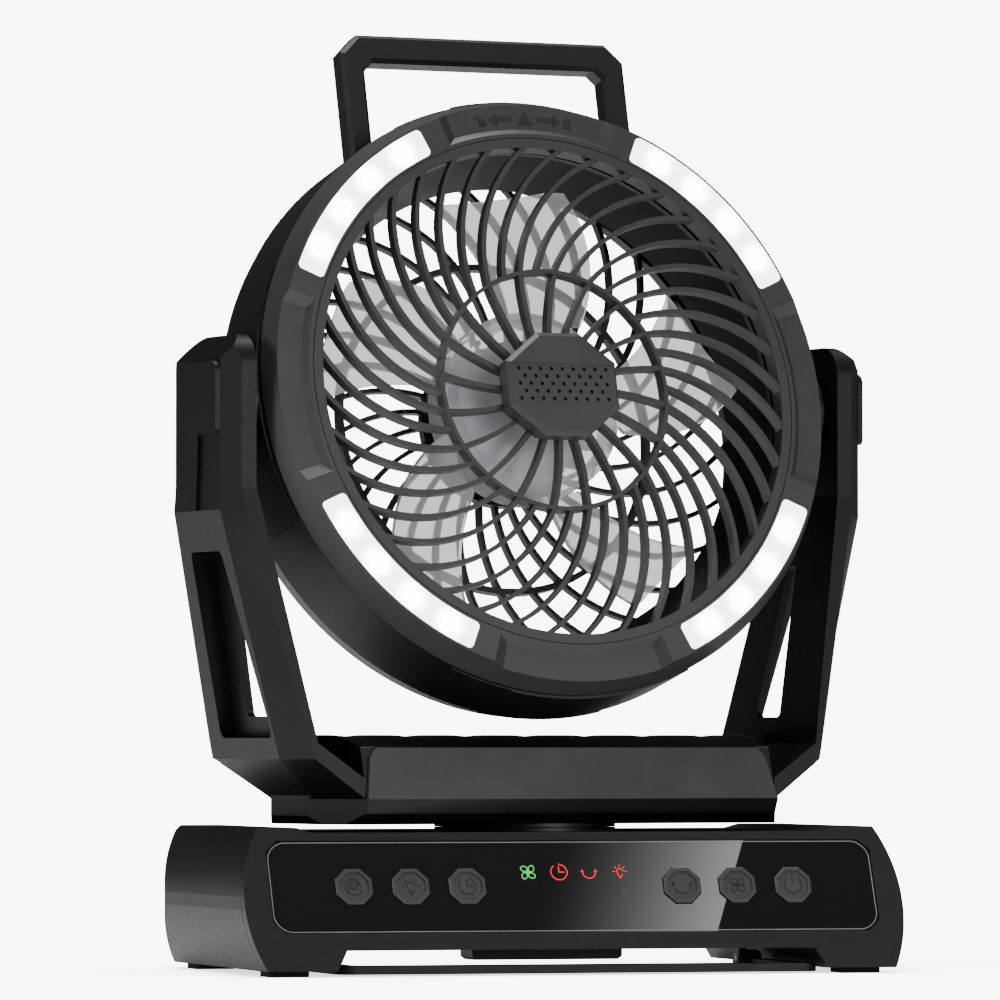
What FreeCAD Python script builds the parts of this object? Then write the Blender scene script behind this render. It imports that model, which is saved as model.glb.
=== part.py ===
import FreeCAD, Part
import math
import os

V = FreeCAD.Vector
os.makedirs("parts", exist_ok=True)

# Base housing. The origin is the middle of the base on the surface it stands on.
BASE_H = 54.0            # surface to the raised ends of the deck
BASE_D = 146.8           # front to back, at the bottom
FRONT_RUN = 23.5         # the front leans back this far from bottom to deck
BASE_W = 252.0           # left to right, at the fullest
DECK_SHY = 7.6           # each side lies this far in at the deck
SKID_SHY = 6.0           # and this far in at the bottom
FULL_Z = 29.0            # height of the fullest part of the sides
REAR_CORNER_R = 12.0
FRONT_CORNER_R = 3.0
REAR_EDGE_R = 6.0
BASE_WALL = 2.6
DECK_DIP = 1.7           # the deck lies this much under its raised ends
RAISED_END_W = 15.0      # each raised end, at its top
RAISED_SLOPE = 4.9
FOOT_T = 2.2
FOOT_L = 16.0
FOOT_W = 15.0
FOOT_INSET = 9.0
TUNNEL_Z = 9.6           # height of the gap under the base
SKID_FOOT_W = 25.0       # each skid, at the bottom
TUNNEL_LEAN = 5.5        # each side of the gap leans in this far
FASCIA_T = 6.0           # depth of the front frame
SEAM = 0.3
COVER_T = 2.4
BLOCK_W = 58.0           # block under the middle of the base
BLOCK_D = 16.4
BLOCK_BEHIND = 50.7      # from the front of the base to the block
BLOCK_FOOT_Z = 4.6
BOSS_R = 4.0
BOSS_INSET = 12.0
BOSS_BACK = 14.0
BOSS_FRONT = 37.4

# Control panel, measured along the sloped front
PANEL_SIDE = 2.4         # from the deck's side edge to the panel
PANEL_L = 36.6
PANEL_DROP = 5.2         # from the front edge of the deck to the panel
PANEL_CORNER = 4.4
PANEL_T = 2.0
PANEL_SUNK = 0.5
PANEL_GAP = 0.15
BUTTON_W = 14.0          # across the flats of the octagon
BUTTON_GAP = 0.3
BUTTON_PROUD = 1.3
BUTTON_RIM = 1.6
BUTTON_DISH = 0.6
BUTTON_TRAVEL = 1.2
BUTTON_FLANGE = 0.9
BUTTON_FLANGE_T = 1.0
BUTTON_FIRST = 41.2      # middle of the panel to the nearest button
BUTTON_PITCH = 21.5
IR_R = 2.2
IR_X = 19.4
IR_DOWN = 2.5
BOARD_T = 1.6
BOARD_BEHIND = 8.0
BOARD_INSET = 10.0
BOARD_EDGE = 5.0
SWITCH_W = 6.0

# Pieces inside the base
CELL_R = 10.5
CELL_L = 70.0
CELL_GAP = 1.0
CELL_TO_BOSS = 0.9       # between the rear row of cells and the screw bosses
PORT_W = 46.0
PORT_H = 16.0
PORT_Z = 31.0
USB_A_W = 13.2
USB_A_H = 5.8
USB_C_W = 9.0
USB_C_H = 3.2
USB_L = 12.0
USB_WALL = 0.5
PORT_PITCH = 20.0

# Bail folded under the base
BAIL_SIDE_ROOM = 3.0     # between the bail and the foot of each skid
BAIL_REACH = 68.0
BAIL_TO_FRONT = 5.4
BAIL_BAR = 8.0
BAIL_T = 3.0
BAIL_LIFT = 0.8
BAIL_EYE_R = 3.2
BAIL_EYE_W = 5.0
BAIL_NOTCH = 1.0          # room round the eye for the pin's head
BAIL_PIN_R = 1.5
BAIL_EAR_T = 3.0
BAIL_SIDE_GAP = 0.4
PIN_HEAD_R = 2.6
PIN_HEAD_T = 0.8

# Turntable
TURN_Y = 8.0
TURN_ANGLE = 9.38        # the yoke is turned this far in the photograph
COLLAR_R = 34.0
COLLAR_GAP = 0.3
SPINDLE_R = 20.0
SPINDLE_BORE_R = 14.0
RUNNING_GAP = 0.06
RING_T = 1.3
RING_BOSS_R = 26.0
RING_BOSS_L = 6.0
COLLAR_T = 1.3
SPINDLE_L = 12.2         # underside of the pan to the end of the spindle
HUB_R = 24.0
HUB_T = 2.4
SWING_MOTOR_R = 24.0
SWING_MOTOR_H = 15.0
SWING_SHAFT_R = 3.0

# Yoke crossbar, with heights measured from the underside of its pan
PAN_W = 193.0
PAN_SIDE_L = 34.5
PAN_D = 84.0
BAR_L = 168.6            # straight part of the crossbar
BAR_FRONT_Y = 44.5       # fullest part of its front
BAR_FULL_Z = 9.3
BAR_EDGE_Z = 28.2
BAR_EDGE_Y = 38.2
CROWN_Z = 33.0
BAR_WALL = 2.6
PAN_FLAT_Y = 33.0
PAN_CURVE_H = 4.0
PLATE_T = 1.6
PLATE_TOP_W = 156.0
PLATE_CORNER = 3.6
PAN_SCREW_X = 58.0
PAN_SCREW_Y = 22.0
FLUTE_PITCH = 24.7
FLUTE_W = 14.7
FLUTE_DEPTH = 1.9
FLUTES = 7

# Yoke arms, with heights measured as the crossbar's
ARM_IN_X = 120.5
ARM_OUT_X = 132.5
ARM_TOP_Z = 180.8
ARM_SHOULDER_Z = 171.8
ARM_TOP_T = 4.0
ARM_HALF_D = 24.0
ARM_KINK_IN_Z = 124.3
ARM_KINK_OUT_Z = 115.8
ARM_FOOT_IN_X = 102.7
ARM_FOOT_OUT_X = 110.3
ARM_FOOT_Z = 30.0
ARM_HEEL_Z = 24.0
ARM_FOOT_HALF_D = 40.0
ARM_SHELF_Z = 16.8
ARM_CHAMFER = 6.0
HEEL_CHAMFER_D = 18.0
REAR_CHAMFER = 1.2
ARM_SPREAD_R = 12.0      # where the arm starts to spread towards its foot
ARM_TOP_CORNER = 12.0
WINDOW_TOP_Z = 97.8
WINDOW_FOOT_Z = 39.8
WINDOW_TOP_HALF = 3.1
WINDOW_FOOT_HALF = 10.2
WINDOW_Y = 4.0
ARM_WEB = 3.0            # wall left behind the recess
RECESS_TOP_Z = 100.8
RECESS_FOOT_Z = 31.8
RECESS_TOP_HALF = 14.0
RECESS_FOOT_HALF = 24.0
ARM_COVER_T = 1.2
ARM_PAD_T = 0.8
ARM_COVER_MID_Z = 143.8
ARM_COVER_FRONT = -18.0
ARM_COVER_BACK = 18.0

# Tilt axis and head. The head is modelled about its tilt axis, its front towards -Y.
PIVOT_Z = 155.6
TILT_ANGLE = 13.72       # the head is tilted this far up in the photograph
HEAD_FORWARD = 28.0      # tilt axis to the lamp face
PIVOT_R = 7.0
PIVOT_SEAT_R = 16.0
WASHER_R = 13.0
WASHER_T = 1.2
DRUM_R = 115.4
DRUM_WALL = 2.6
DRUM_L = 58.0            # lamp face to the back of the drum
DRUM_STRAIGHT = 45.0
DRUM_BACK_R = 109.0
REAR_OPEN_R = 104.0
DUCT_IN_R = 95.5
DUCT_OUT_R = 89.0
DUCT_END = 36.0
DUCT_WALL = 2.2
DUCT_FLANGE_R = 104.0
PAD_STEP = 0.5
PAD_ANGLE_WIDE = 25.0
PAD_ANGLE_NARROW = 12.5
PAD_FRONT = 12.0
PAD_BACK = 44.0

# Lamp bezel
BEZEL_R = 111.2
BEZEL_BORE_R = 96.6
BEZEL_T = 4.8
BEZEL_L = 10.0
LAMP_OUT_R = 110.4
LAMP_IN_R = 99.6
LAMP_ANGLE = 20.7        # half of each lamp's arc
LAMP_LENS_T = 2.2
LAMP_GAP = 0.1
LAMP_BOARD_T = 1.0
LAMP_CORNER = 1.8
POCKET_IN_R = 100.2
POCKET_DEPTH = 2.2
POCKET_ANGLE = 19.3
POCKET_SLOPE = 2.3       # degrees at each end, millimetres at its inner side

# Front grille
GRILLE_RING_R = 96.3
GRILLE_RING_BORE_R = 94.6
GRILLE_RING_L = 7.0
GRILLE_FLANGE_R = 98.3
GRILLE_FLANGE_T = 1.0
GRILLE_GAP = 0.3
LUG_R = 98.0
LUG_T = 1.6
LUG_ANGLE = 4.0
LUGS = 4
TWIST_ANGLE = 12.0
MID_RING_R = 46.2
MID_RING_W = 1.5
OUTER_BARS = 40
INNER_BARS = 20
OUTER_BAR_SWEEP = 28.5
OUTER_BAR_MIDWAY = 12.5
INNER_BAR_SWEEP = 7.5
BAR_TURN = 2.5           # where the first outer bar meets the middle ring
BAR_W = 1.8
BAR_D = 4.6
CAP_W = 45.3
CAP_H = 40.0
CAP_EDGE = 17.6
CAP_PROUD = 7.8
CAP_SEAT_DEPTH = -1.0    # front of the bars' hub, on the same scale
HUB_INSET = 2.0          # the bars' hub lies this much inside the cap's edge
CAP_BEVEL = 1.6
CAP_HOLE_R = 0.82
CAP_HOLE_PITCH = 4.5
CAP_ROW_HOLES = 9
CAP_ROW_PITCH = 2.9
CAP_ROWS = 5

# Rear grille
REAR_RING_R = 103.8
REAR_RING_BORE_R = 98.0
REAR_FLANGE_R = 107.6
REAR_BARS = 30
REAR_BAR_SWEEP = -34.0
REAR_BAR_MIDWAY = -14.0
REAR_MID_R = 64.0
REAR_HUB_R = 31.0
REAR_BAR_D = 3.4

# Fan wheel and motor
WHEEL_R = 85.0
WHEEL_HUB_R = 36.0
WHEEL_FRONT = 15.0
WHEEL_BACK = 37.0
WHEEL_WALL = 2.0
BLADES = 5
BLADE_T = 1.6
BLADE_TIP_T = 1.3
TIP_GAP = 2.0            # the tip section lies this far inside the wheel's edge
ROOT_CHORD = 30.0
MID_CHORD = 44.0
TIP_CHORD = 50.0
ROOT_PITCH = 38.0
MID_PITCH = 29.0
TIP_PITCH = 22.0
MID_SWEEP = 9.0
TIP_SWEEP = 20.0
MOTOR_R = 27.0
MOTOR_FRONT = 26.0
SHAFT_R = 2.5

# Carry handle
HANDLE_W = 119.0
HANDLE_TOP = 148.0       # tilt axis to the top of the handle
HANDLE_LEG_W = 9.5
HANDLE_BAR_H = 11.0
HANDLE_D = 10.0
HANDLE_CORNER = 7.2
HANDLE_INNER_CORNER = 3.4
HANDLE_BEVEL = 1.6
HANDLE_Y = 8.0
HANDLE_FOOT = 97.4
HANDLE_SOCKET_GAP = 0.15

# Screws
SCREW_HEAD_R = 2.8
SCREW_HEAD_T = 1.6
SCREW_R = 1.3
SCREW_L = 8.0

SLOPE = math.degrees(math.atan2(FRONT_RUN, BASE_H - FOOT_T))
FRONT_TOP_Y = -BASE_D / 2 + FRONT_RUN
DECK_Z = BASE_H - DECK_DIP
DECK_W = BASE_W - 2 * DECK_SHY
SKID_W = BASE_W - 2 * SKID_SHY
PANEL_W = DECK_W - 2 * PANEL_SIDE
TUNNEL_FOOT_W = SKID_W - 2 * SKID_FOOT_W
TUNNEL_TOP_W = TUNNEL_FOOT_W - 2 * TUNNEL_LEAN
BAIL_W = TUNNEL_FOOT_W - 2 * BAIL_SIDE_ROOM
BLOCK_FRONT = -BASE_D / 2 + BLOCK_BEHIND
CELL_ROW_Y = BASE_D / 2 - BOSS_BACK - BOSS_R - CELL_TO_BOSS - CELL_R
COLLAR_Z = DECK_Z + RING_T + COLLAR_GAP
PAN_Z = COLLAR_Z + COLLAR_T
PANEL_MID = -(PANEL_DROP + PANEL_L / 2)
BAIL_PIVOT_Z = BAIL_LIFT + BAIL_EYE_R
BAIL_FRONT_Y = -BASE_D / 2 + BAIL_TO_FRONT
BAIL_PIVOT_Y = BAIL_FRONT_Y + BAIL_REACH


def box(x0, x1, y0, y1, z0, z1):
    return Part.makeBox(x1 - x0, y1 - y0, z1 - z0, V(x0, y0, z0))


def rod(radius, start, direction, length):
    return Part.makeCylinder(radius, length, start, direction)


def lift(axis, u, v, w):
    """Point with u, v in the plane across an axis and w along it."""
    if axis == "x":
        return V(w, u, v)
    if axis == "y":
        return V(u, w, v)
    return V(u, v, w)


def prism(axis, points, start, end):
    """Polygon across an axis, drawn out from start to end along it."""
    corners = [lift(axis, u, v, start) for u, v in points]
    face = Part.Face(Part.makePolygon(corners + corners[:1]))
    return face.extrude(lift(axis, 0, 0, end - start))


def rounded_wire(axis, corners, at):
    """Closed outline whose corners are (u, v, radius), with arcs at the round ones."""
    edges = []
    count = len(corners)
    joints = []
    for i, (u, v, radius) in enumerate(corners):
        here = V(u, v, 0)
        before = V(*corners[i - 1][:2], 0) - here
        after = V(*corners[(i + 1) % count][:2], 0) - here
        if radius == 0:
            joints.append((here, here, here))
            continue
        half = before.getAngle(after) / 2
        back = radius / math.tan(half)
        bisector = before.normalize() + after.normalize()
        centre = here + bisector.normalize() * (radius / math.sin(half))
        middle = centre + (here - centre).normalize() * radius
        joints.append((here + before * back, middle, here + after * back))
    for i, (start, middle, end) in enumerate(joints):
        a, b, c = [lift(axis, p.x, p.y, at) for p in (start, middle, end)]
        if corners[i][2]:
            edges.append(Part.Arc(a, b, c).toShape())
        following = joints[(i + 1) % count][0]
        d = lift(axis, following.x, following.y, at)
        if c.distanceToPoint(d) > 1e-6:
            edges.append(Part.makeLine(c, d))
    return Part.Wire(edges)


def rounded_prism(axis, corners, start, end):
    face = Part.Face(rounded_wire(axis, corners, start))
    return face.extrude(lift(axis, 0, 0, end - start))


def turned(profile):
    """Ring or disc turned about the Y axis from (radius, y) points."""
    points = [V(r, y, 0) for r, y in profile]
    face = Part.Face(Part.makePolygon(points + points[:1]))
    return face.revolve(V(0, 0, 0), V(0, 1, 0), 360)


def behind(depth):
    """Place along the head's axis, from its depth behind the lamp face."""
    return depth - HEAD_FORWARD


def head_ring(profile):
    """Ring about the head's axis from (radius, depth behind the lamp face) points."""
    return turned([(r, behind(a)) for r, a in profile])


def polar(radius, angle, depth):
    a = math.radians(angle)
    return V(radius * math.cos(a), behind(depth), radius * math.sin(a))


def sector_wire(r_in, r_out, half_angle, depth):
    """Outline of a ring sector centred on the angle zero."""
    arc_out = Part.Arc(*[polar(r_out, a, depth) for a in (-half_angle, 0, half_angle)])
    arc_in = Part.Arc(*[polar(r_in, a, depth) for a in (half_angle, 0, -half_angle)])
    side_a = Part.makeLine(polar(r_out, half_angle, depth), polar(r_in, half_angle, depth))
    side_b = Part.makeLine(polar(r_in, -half_angle, depth), polar(r_out, -half_angle, depth))
    return Part.Wire([arc_out.toShape(), side_a, arc_in.toShape(), side_b])


def sector(r_in, r_out, half_angle, start, end):
    face = Part.Face(sector_wire(r_in, r_out, half_angle, start))
    return face.extrude(V(0, end - start, 0))


def spun(shape, angle):
    """Copy of a head piece turned about the head's axis, anticlockwise from the front."""
    copy = shape.copy()
    copy.rotate(V(0, 0, 0), V(0, -1, 0), angle)
    return copy


def mirrored(shape):
    return shape.mirror(V(0, 0, 0), V(1, 0, 0))


def united(shapes):
    return shapes[0].multiFuse(shapes[1:]).removeSplitter()


def on_front(shape):
    """Move a piece drawn flat, Y up the panel and Z out of it, to the sloped front."""
    turn = FreeCAD.Rotation(V(1, 0, 0), 90 - SLOPE)
    placed = shape.copy()
    placed.Placement = FreeCAD.Placement(V(0, FRONT_TOP_Y, BASE_H), turn).multiply(placed.Placement)
    return placed


def on_yoke(shape):
    """Move a piece drawn about the turntable's axis to its place."""
    placed = shape.copy()
    placed.rotate(V(0, 0, 0), V(0, 0, 1), TURN_ANGLE)
    placed.translate(V(0, TURN_Y, PAN_Z))
    return placed


def on_head(shape):
    """Move a piece drawn about the tilt axis to its place."""
    placed = shape.copy()
    placed.rotate(V(0, 0, 0), V(1, 0, 0), -TILT_ANGLE)
    placed.translate(V(0, 0, PIVOT_Z))
    return on_yoke(placed)


def keep(name, shape):
    solids = shape.Solids
    shape = solids[0] if len(solids) == 1 else Part.makeCompound(solids)
    shape.exportStep(os.path.join("parts", name + ".step"))


def front_y(z):
    """Y of the sloped front at a height."""
    return FRONT_TOP_Y - (BASE_H - z) * math.tan(math.radians(SLOPE))


def base_block(inset, floor):
    """The base's outer form, drawn in by an inset, from a floor height up."""
    top = BASE_H - inset
    deck = DECK_W / 2 - inset
    full = BASE_W / 2 - inset
    foot = SKID_W / 2 - inset
    right = Part.Arc(V(foot, -BASE_D, FOOT_T), V(full, -BASE_D, FULL_Z), V(deck, -BASE_D, top))
    left = Part.Arc(V(-deck, -BASE_D, top), V(-full, -BASE_D, FULL_Z), V(-foot, -BASE_D, FOOT_T))
    lid = Part.makeLine(V(deck, -BASE_D, top), V(-deck, -BASE_D, top))
    sole = Part.makeLine(V(-foot, -BASE_D, FOOT_T), V(foot, -BASE_D, FOOT_T))
    barrel = Part.Face(Part.Wire([right.toShape(), lid, left.toShape(), sole]))
    barrel = barrel.extrude(V(0, 2 * BASE_D, 0))
    back = BASE_D / 2 - inset
    radius = max(REAR_EDGE_R - inset, 1.0)
    side = [
        (front_y(0) + inset, 0, 0),
        (back, 0, 0),
        (back, top, radius),
        (front_y(top) + inset, top, 0),
    ]
    side = rounded_prism("x", side, -BASE_W, BASE_W)
    plan = [
        (-full, -BASE_D / 2, FRONT_CORNER_R),
        (full, -BASE_D / 2, FRONT_CORNER_R),
        (full, back, max(REAR_CORNER_R - inset, 1.0)),
        (-full, back, max(REAR_CORNER_R - inset, 1.0)),
    ]
    plan = rounded_prism("z", plan, floor, BASE_H + 1)
    return barrel.common(side).common(plan)


def seam_side(y_shift, front):
    """Half space in front of or behind a plane parallel to the sloped front."""
    low = front_y(-5) + y_shift
    high = front_y(BASE_H + 5) + y_shift
    reach = -BASE_D if front else BASE_D
    points = [(low, -5), (high, BASE_H + 5), (reach, BASE_H + 5), (reach, -5)]
    return prism("x", points, -BASE_W, BASE_W)


def tunnel():
    """The gap that runs under the base from front to back."""
    points = [
        (-TUNNEL_FOOT_W / 2, 0),
        (-TUNNEL_TOP_W / 2, TUNNEL_Z),
        (TUNNEL_TOP_W / 2, TUNNEL_Z),
        (TUNNEL_FOOT_W / 2, 0),
    ]
    return prism("y", points, -BASE_D, BASE_D)


def deck_dip():
    half = DECK_W / 2 - RAISED_END_W
    points = [
        (-half + RAISED_SLOPE, DECK_Z),
        (-half, BASE_H + 0.01),
        (-half, BASE_H + 9),
        (half, BASE_H + 9),
        (half, BASE_H + 0.01),
        (half - RAISED_SLOPE, DECK_Z),
    ]
    return prism("y", points, -BASE_D, BASE_D)


def screw(head_at, direction):
    """Screw with a six-sided head at a point and its shank along a direction."""
    head = prism("z", hexagon(SCREW_HEAD_R, 0, 0), 0, SCREW_HEAD_T)
    head.Placement = FreeCAD.Placement(head_at, FreeCAD.Rotation(V(0, 0, 1), direction))
    return head.fuse(rod(SCREW_R, head_at, direction, SCREW_L))


def base_screw_spots():
    x = TUNNEL_TOP_W / 2 - BOSS_INSET
    return [(sx * x, y) for sx in (-1, 1) for y in (BASE_D / 2 - BOSS_BACK, -BASE_D / 2 + BOSS_FRONT)]


def base_screw_set():
    up = V(0, 0, 1)
    return Part.makeCompound([screw(V(x, y, TUNNEL_Z), up) for x, y in base_screw_spots()])


def screw_bosses():
    low = TUNNEL_Z + COVER_T
    height = DECK_Z - BASE_WALL / 2 - low
    return [rod(BOSS_R, V(x, y, low), V(0, 0, 1), height) for x, y in base_screw_spots()]


def port_window(grow, depth):
    """Opening or plate of the rear ports."""
    half = PORT_W / 2 + grow
    low = PORT_Z - PORT_H / 2 - grow
    high = PORT_Z + PORT_H / 2 + grow
    corners = [(-half, low, 3), (half, low, 3), (half, high, 3), (-half, high, 3)]
    return rounded_prism("y", corners, BASE_D / 2 - depth, BASE_D / 2 + 1)


def make_base_shell(screws):
    block = base_block(0, FOOT_T).common(seam_side(FASCIA_T + SEAM, False))
    hollow = base_block(BASE_WALL, TUNNEL_Z).common(seam_side(FASCIA_T - 1, False))
    hollow = hollow.cut(box(-BASE_W, BASE_W, -BASE_D, BASE_D, DECK_Z - BASE_WALL, BASE_H))
    shell = block.cut(hollow).cut(tunnel()).cut(deck_dip())
    shell = shell.fuse(Part.makeCompound(screw_bosses()))
    shell = shell.cut(rod(RING_BOSS_R, V(0, TURN_Y, 0), V(0, 0, 1), BASE_H))
    shell = shell.cut(port_window(PANEL_GAP, BASE_WALL + 2))
    return shell.cut(screws)


def panel_outline(grow):
    half = PANEL_W / 2 + grow
    top = -PANEL_DROP + grow
    low = -PANEL_DROP - PANEL_L - grow
    c = PANEL_CORNER
    return [
        (-half + c, low), (half - c, low), (half, low + c), (half, top - c),
        (half - c, top), (-half + c, top), (-half, top - c), (-half, low + c),
    ]


def make_base_fascia():
    frame = base_block(0, FOOT_T).common(seam_side(FASCIA_T, True)).cut(tunnel()).cut(deck_dip())
    opening = prism("z", panel_outline(PANEL_GAP), -PANEL_SUNK - PANEL_T, 1)
    inner = prism("z", panel_outline(-2.4), -4 * FASCIA_T, 1)
    return frame.cut(on_front(opening)).cut(on_front(inner))


def make_bottom_cover(screws):
    plate = base_block(BASE_WALL + 0.2, TUNNEL_Z)
    half = TUNNEL_TOP_W / 2 + 6
    plate = plate.common(box(-half, half, -BASE_D, BASE_D, TUNNEL_Z, TUNNEL_Z + COVER_T))
    plate = plate.common(seam_side(FASCIA_T + SEAM, False))
    block = box(-BLOCK_W / 2, BLOCK_W / 2, BLOCK_FRONT, BLOCK_FRONT + BLOCK_D, BLOCK_FOOT_Z, TUNNEL_Z)
    pieces = [plate, block.makeChamfer(1.2, [e for e in block.Edges if e.BoundBox.ZMax < BLOCK_FOOT_Z + 0.1])]
    for side in (-1, 1):
        pieces.append(bail_ear(side))
    return united(pieces).cut(screws).cut(bail_pin_set())


def bail_ear(side):
    """Ear that holds the bail's pin, inside the leg of the bail."""
    outer = BAIL_W / 2 - BAIL_BAR - BAIL_SIDE_GAP
    x0, x1 = sorted((side * outer, side * (outer - BAIL_EAR_T)))
    corners = [
        (BAIL_PIVOT_Y - 5, TUNNEL_Z + 0.4, 0),
        (BAIL_PIVOT_Y - 3, BAIL_PIVOT_Z - 2.9, 2.4),
        (BAIL_PIVOT_Y + 3, BAIL_PIVOT_Z - 2.9, 2.4),
        (BAIL_PIVOT_Y + 5, TUNNEL_Z + 0.4, 0),
    ]
    return rounded_prism("x", corners, x0, x1)


def bail_pin_set():
    pins = []
    inner = BAIL_W / 2 - BAIL_BAR - BAIL_SIDE_GAP - BAIL_EAR_T
    for side in (-1, 1):
        length = BAIL_EAR_T + BAIL_EYE_W + 2 * BAIL_SIDE_GAP
        pin = rod(BAIL_PIN_R, V(side * inner, BAIL_PIVOT_Y, BAIL_PIVOT_Z), V(side, 0, 0), length)
        head = V(side * (inner + length), BAIL_PIVOT_Y, BAIL_PIVOT_Z)
        pins.append(pin.fuse(rod(PIN_HEAD_R, head, V(side, 0, 0), PIN_HEAD_T)))
    return Part.makeCompound(pins)


def make_bail():
    """Flat U-shaped bail with an eye at the end of each leg."""
    half = BAIL_W / 2
    y0 = BAIL_FRONT_Y
    y1 = BAIL_PIVOT_Y
    outer = [(-half, y1, 0), (-half, y0, 6), (half, y0, 6), (half, y1, 0)]
    inner = half - BAIL_BAR
    hole = [(-inner, y1 + 9, 0), (-inner, y0 + BAIL_BAR, 3), (inner, y0 + BAIL_BAR, 3), (inner, y1 + 9, 0)]
    low = BAIL_LIFT
    loop = rounded_prism("z", outer, low, low + BAIL_T)
    loop = loop.cut(rounded_prism("z", hole, low - 1, low + BAIL_T + 1))
    pieces = [loop]
    for side in (-1, 1):
        start = V(side * inner, y1, BAIL_PIVOT_Z)
        pieces.append(rod(BAIL_EYE_R, start, V(side, 0, 0), BAIL_EYE_W))
    bail = united(pieces)
    for side in (-1, 1):
        start = V(side * (inner - 1), y1, BAIL_PIVOT_Z)
        bail = bail.cut(rod(BAIL_PIN_R + RUNNING_GAP, start, V(side, 0, 0), BAIL_BAR + 2))
        x0, x1 = sorted((side * (inner + BAIL_EYE_W), side * (half + 1)))
        bail = bail.cut(box(x0, x1, y1 - BAIL_EYE_R - BAIL_NOTCH, y1 + BAIL_EYE_R, 0, TUNNEL_Z))
    return bail


def make_rubber_feet():
    feet = []
    x = SKID_W / 2 - FOOT_W / 2 - 3
    for sx in (-1, 1):
        for y in (-BASE_D / 2 + FOOT_INSET + FOOT_L / 2, BASE_D / 2 - FOOT_INSET - FOOT_L / 2):
            x0 = sx * x - FOOT_W / 2
            pad = [(x0, y - FOOT_L / 2, 2), (x0 + FOOT_W, y - FOOT_L / 2, 2)]
            pad += [(x0 + FOOT_W, y + FOOT_L / 2, 2), (x0, y + FOOT_L / 2, 2)]
            feet.append(rounded_prism("z", pad, 0, FOOT_T))
    return Part.makeCompound(feet)


def octagon(across):
    """Regular octagon as (u, v) points about the origin."""
    radius = across / 2 / math.cos(math.pi / 8)
    angles = [math.pi / 8 + k * math.pi / 4 for k in range(8)]
    return [(radius * math.cos(a), radius * math.sin(a)) for a in angles]


def button_centres():
    right = [BUTTON_FIRST + k * BUTTON_PITCH for k in range(3)]
    return [-x for x in reversed(right)] + right


def moved(shape, x, y, z):
    copy = shape.copy()
    copy.translate(V(x, y, z))
    return copy


def make_button(x):
    """Octagonal button with a raised rim, a dished face and a flange behind the panel."""
    face = BUTTON_PROUD - PANEL_SUNK
    back = -PANEL_SUNK - PANEL_T
    body = prism("z", octagon(BUTTON_W), back - 0.1, face)
    body = body.makeChamfer(0.5, [e for e in body.Edges if e.BoundBox.ZMin > face - 0.01])
    dish = prism("z", octagon(BUTTON_W - 2 * BUTTON_RIM), face - BUTTON_DISH, face + 1)
    flange = prism("z", octagon(BUTTON_W + 2 * BUTTON_FLANGE), back - 0.1 - BUTTON_FLANGE_T, back - 0.1)
    stem_end = back - BOARD_BEHIND + 3.4 + BUTTON_TRAVEL
    stem = rod(2.2, V(0, 0, stem_end), V(0, 0, 1), back - stem_end)
    button = united([body.cut(dish), flange, stem])
    return on_front(moved(button, x, PANEL_MID, 0))


def make_control_panel():
    back = -PANEL_SUNK - PANEL_T
    panel = prism("z", panel_outline(0), back, -PANEL_SUNK)
    for x in button_centres():
        hole = prism("z", octagon(BUTTON_W + 2 * BUTTON_GAP), back - 1, 1)
        panel = panel.cut(moved(hole, x, PANEL_MID, 0))
    panel = panel.cut(rod(IR_R + 0.05, V(IR_X, PANEL_MID - IR_DOWN, back - 1), V(0, 0, 1), 9))
    return on_front(panel)


def make_ir_window():
    back = -PANEL_SUNK - PANEL_T
    lens = rod(IR_R, V(IR_X, PANEL_MID - IR_DOWN, back), V(0, 0, 1), PANEL_T)
    seat = rod(IR_R + 0.8, V(IR_X, PANEL_MID - IR_DOWN, back - 1), V(0, 0, 1), 1)
    return on_front(lens.fuse(seat))


def make_control_board():
    top = -PANEL_SUNK - PANEL_T - BOARD_BEHIND
    half = PANEL_W / 2 - BOARD_INSET
    low = PANEL_MID - PANEL_L / 2 + BOARD_EDGE
    high = PANEL_MID + PANEL_L / 2 - BOARD_EDGE
    board = box(-half, half, low, high, top - BOARD_T, top)
    pieces = [board]
    for x in button_centres():
        w = SWITCH_W / 2
        pieces.append(box(x - w, x + w, PANEL_MID - w, PANEL_MID + w, top - 0.2, top + 3.1))
    for x in (-half + 4, half - 4):
        post = rod(2.5, V(x, PANEL_MID, top - 0.2), V(0, 0, 1), BOARD_BEHIND + 0.2)
        pieces.append(post)
    return on_front(united(pieces))


def make_battery():
    """Six cells lying along X in two rows at the back of the base."""
    cells = []
    z = TUNNEL_Z + COVER_T + CELL_R
    for side in (-1, 1):
        start = side * (HUB_R + 8)
        for row in range(3):
            y = CELL_ROW_Y - row * (2 * CELL_R + CELL_GAP)
            cells.append(rod(CELL_R, V(start, y, z), V(side, 0, 0), CELL_L))
    return Part.makeCompound(cells)


def make_port_panel():
    """Plate with the two port openings, set into the rear wall."""
    plate = port_window(0, BASE_WALL)
    plate = plate.common(box(-BASE_W, BASE_W, 0, BASE_D / 2 - 0.6, 0, BASE_H))
    return plate.cut(port_block("a", 0.05)).cut(port_block("c", 0.05))


def port_block(kind, grow):
    """Outer form of a port's metal shell."""
    x = -PORT_PITCH / 2 if kind == "a" else PORT_PITCH / 2
    width, height = (USB_A_W, USB_A_H) if kind == "a" else (USB_C_W, USB_C_H)
    w = width / 2 + grow
    h = height / 2 + grow
    radius = 0.6 if kind == "a" else h - 0.05
    corners = [(x - w, PORT_Z - h, radius), (x + w, PORT_Z - h, radius)]
    corners += [(x + w, PORT_Z + h, radius), (x - w, PORT_Z + h, radius)]
    end = BASE_D / 2 - 0.9
    return rounded_prism("y", corners, end - USB_L, end)


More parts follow.
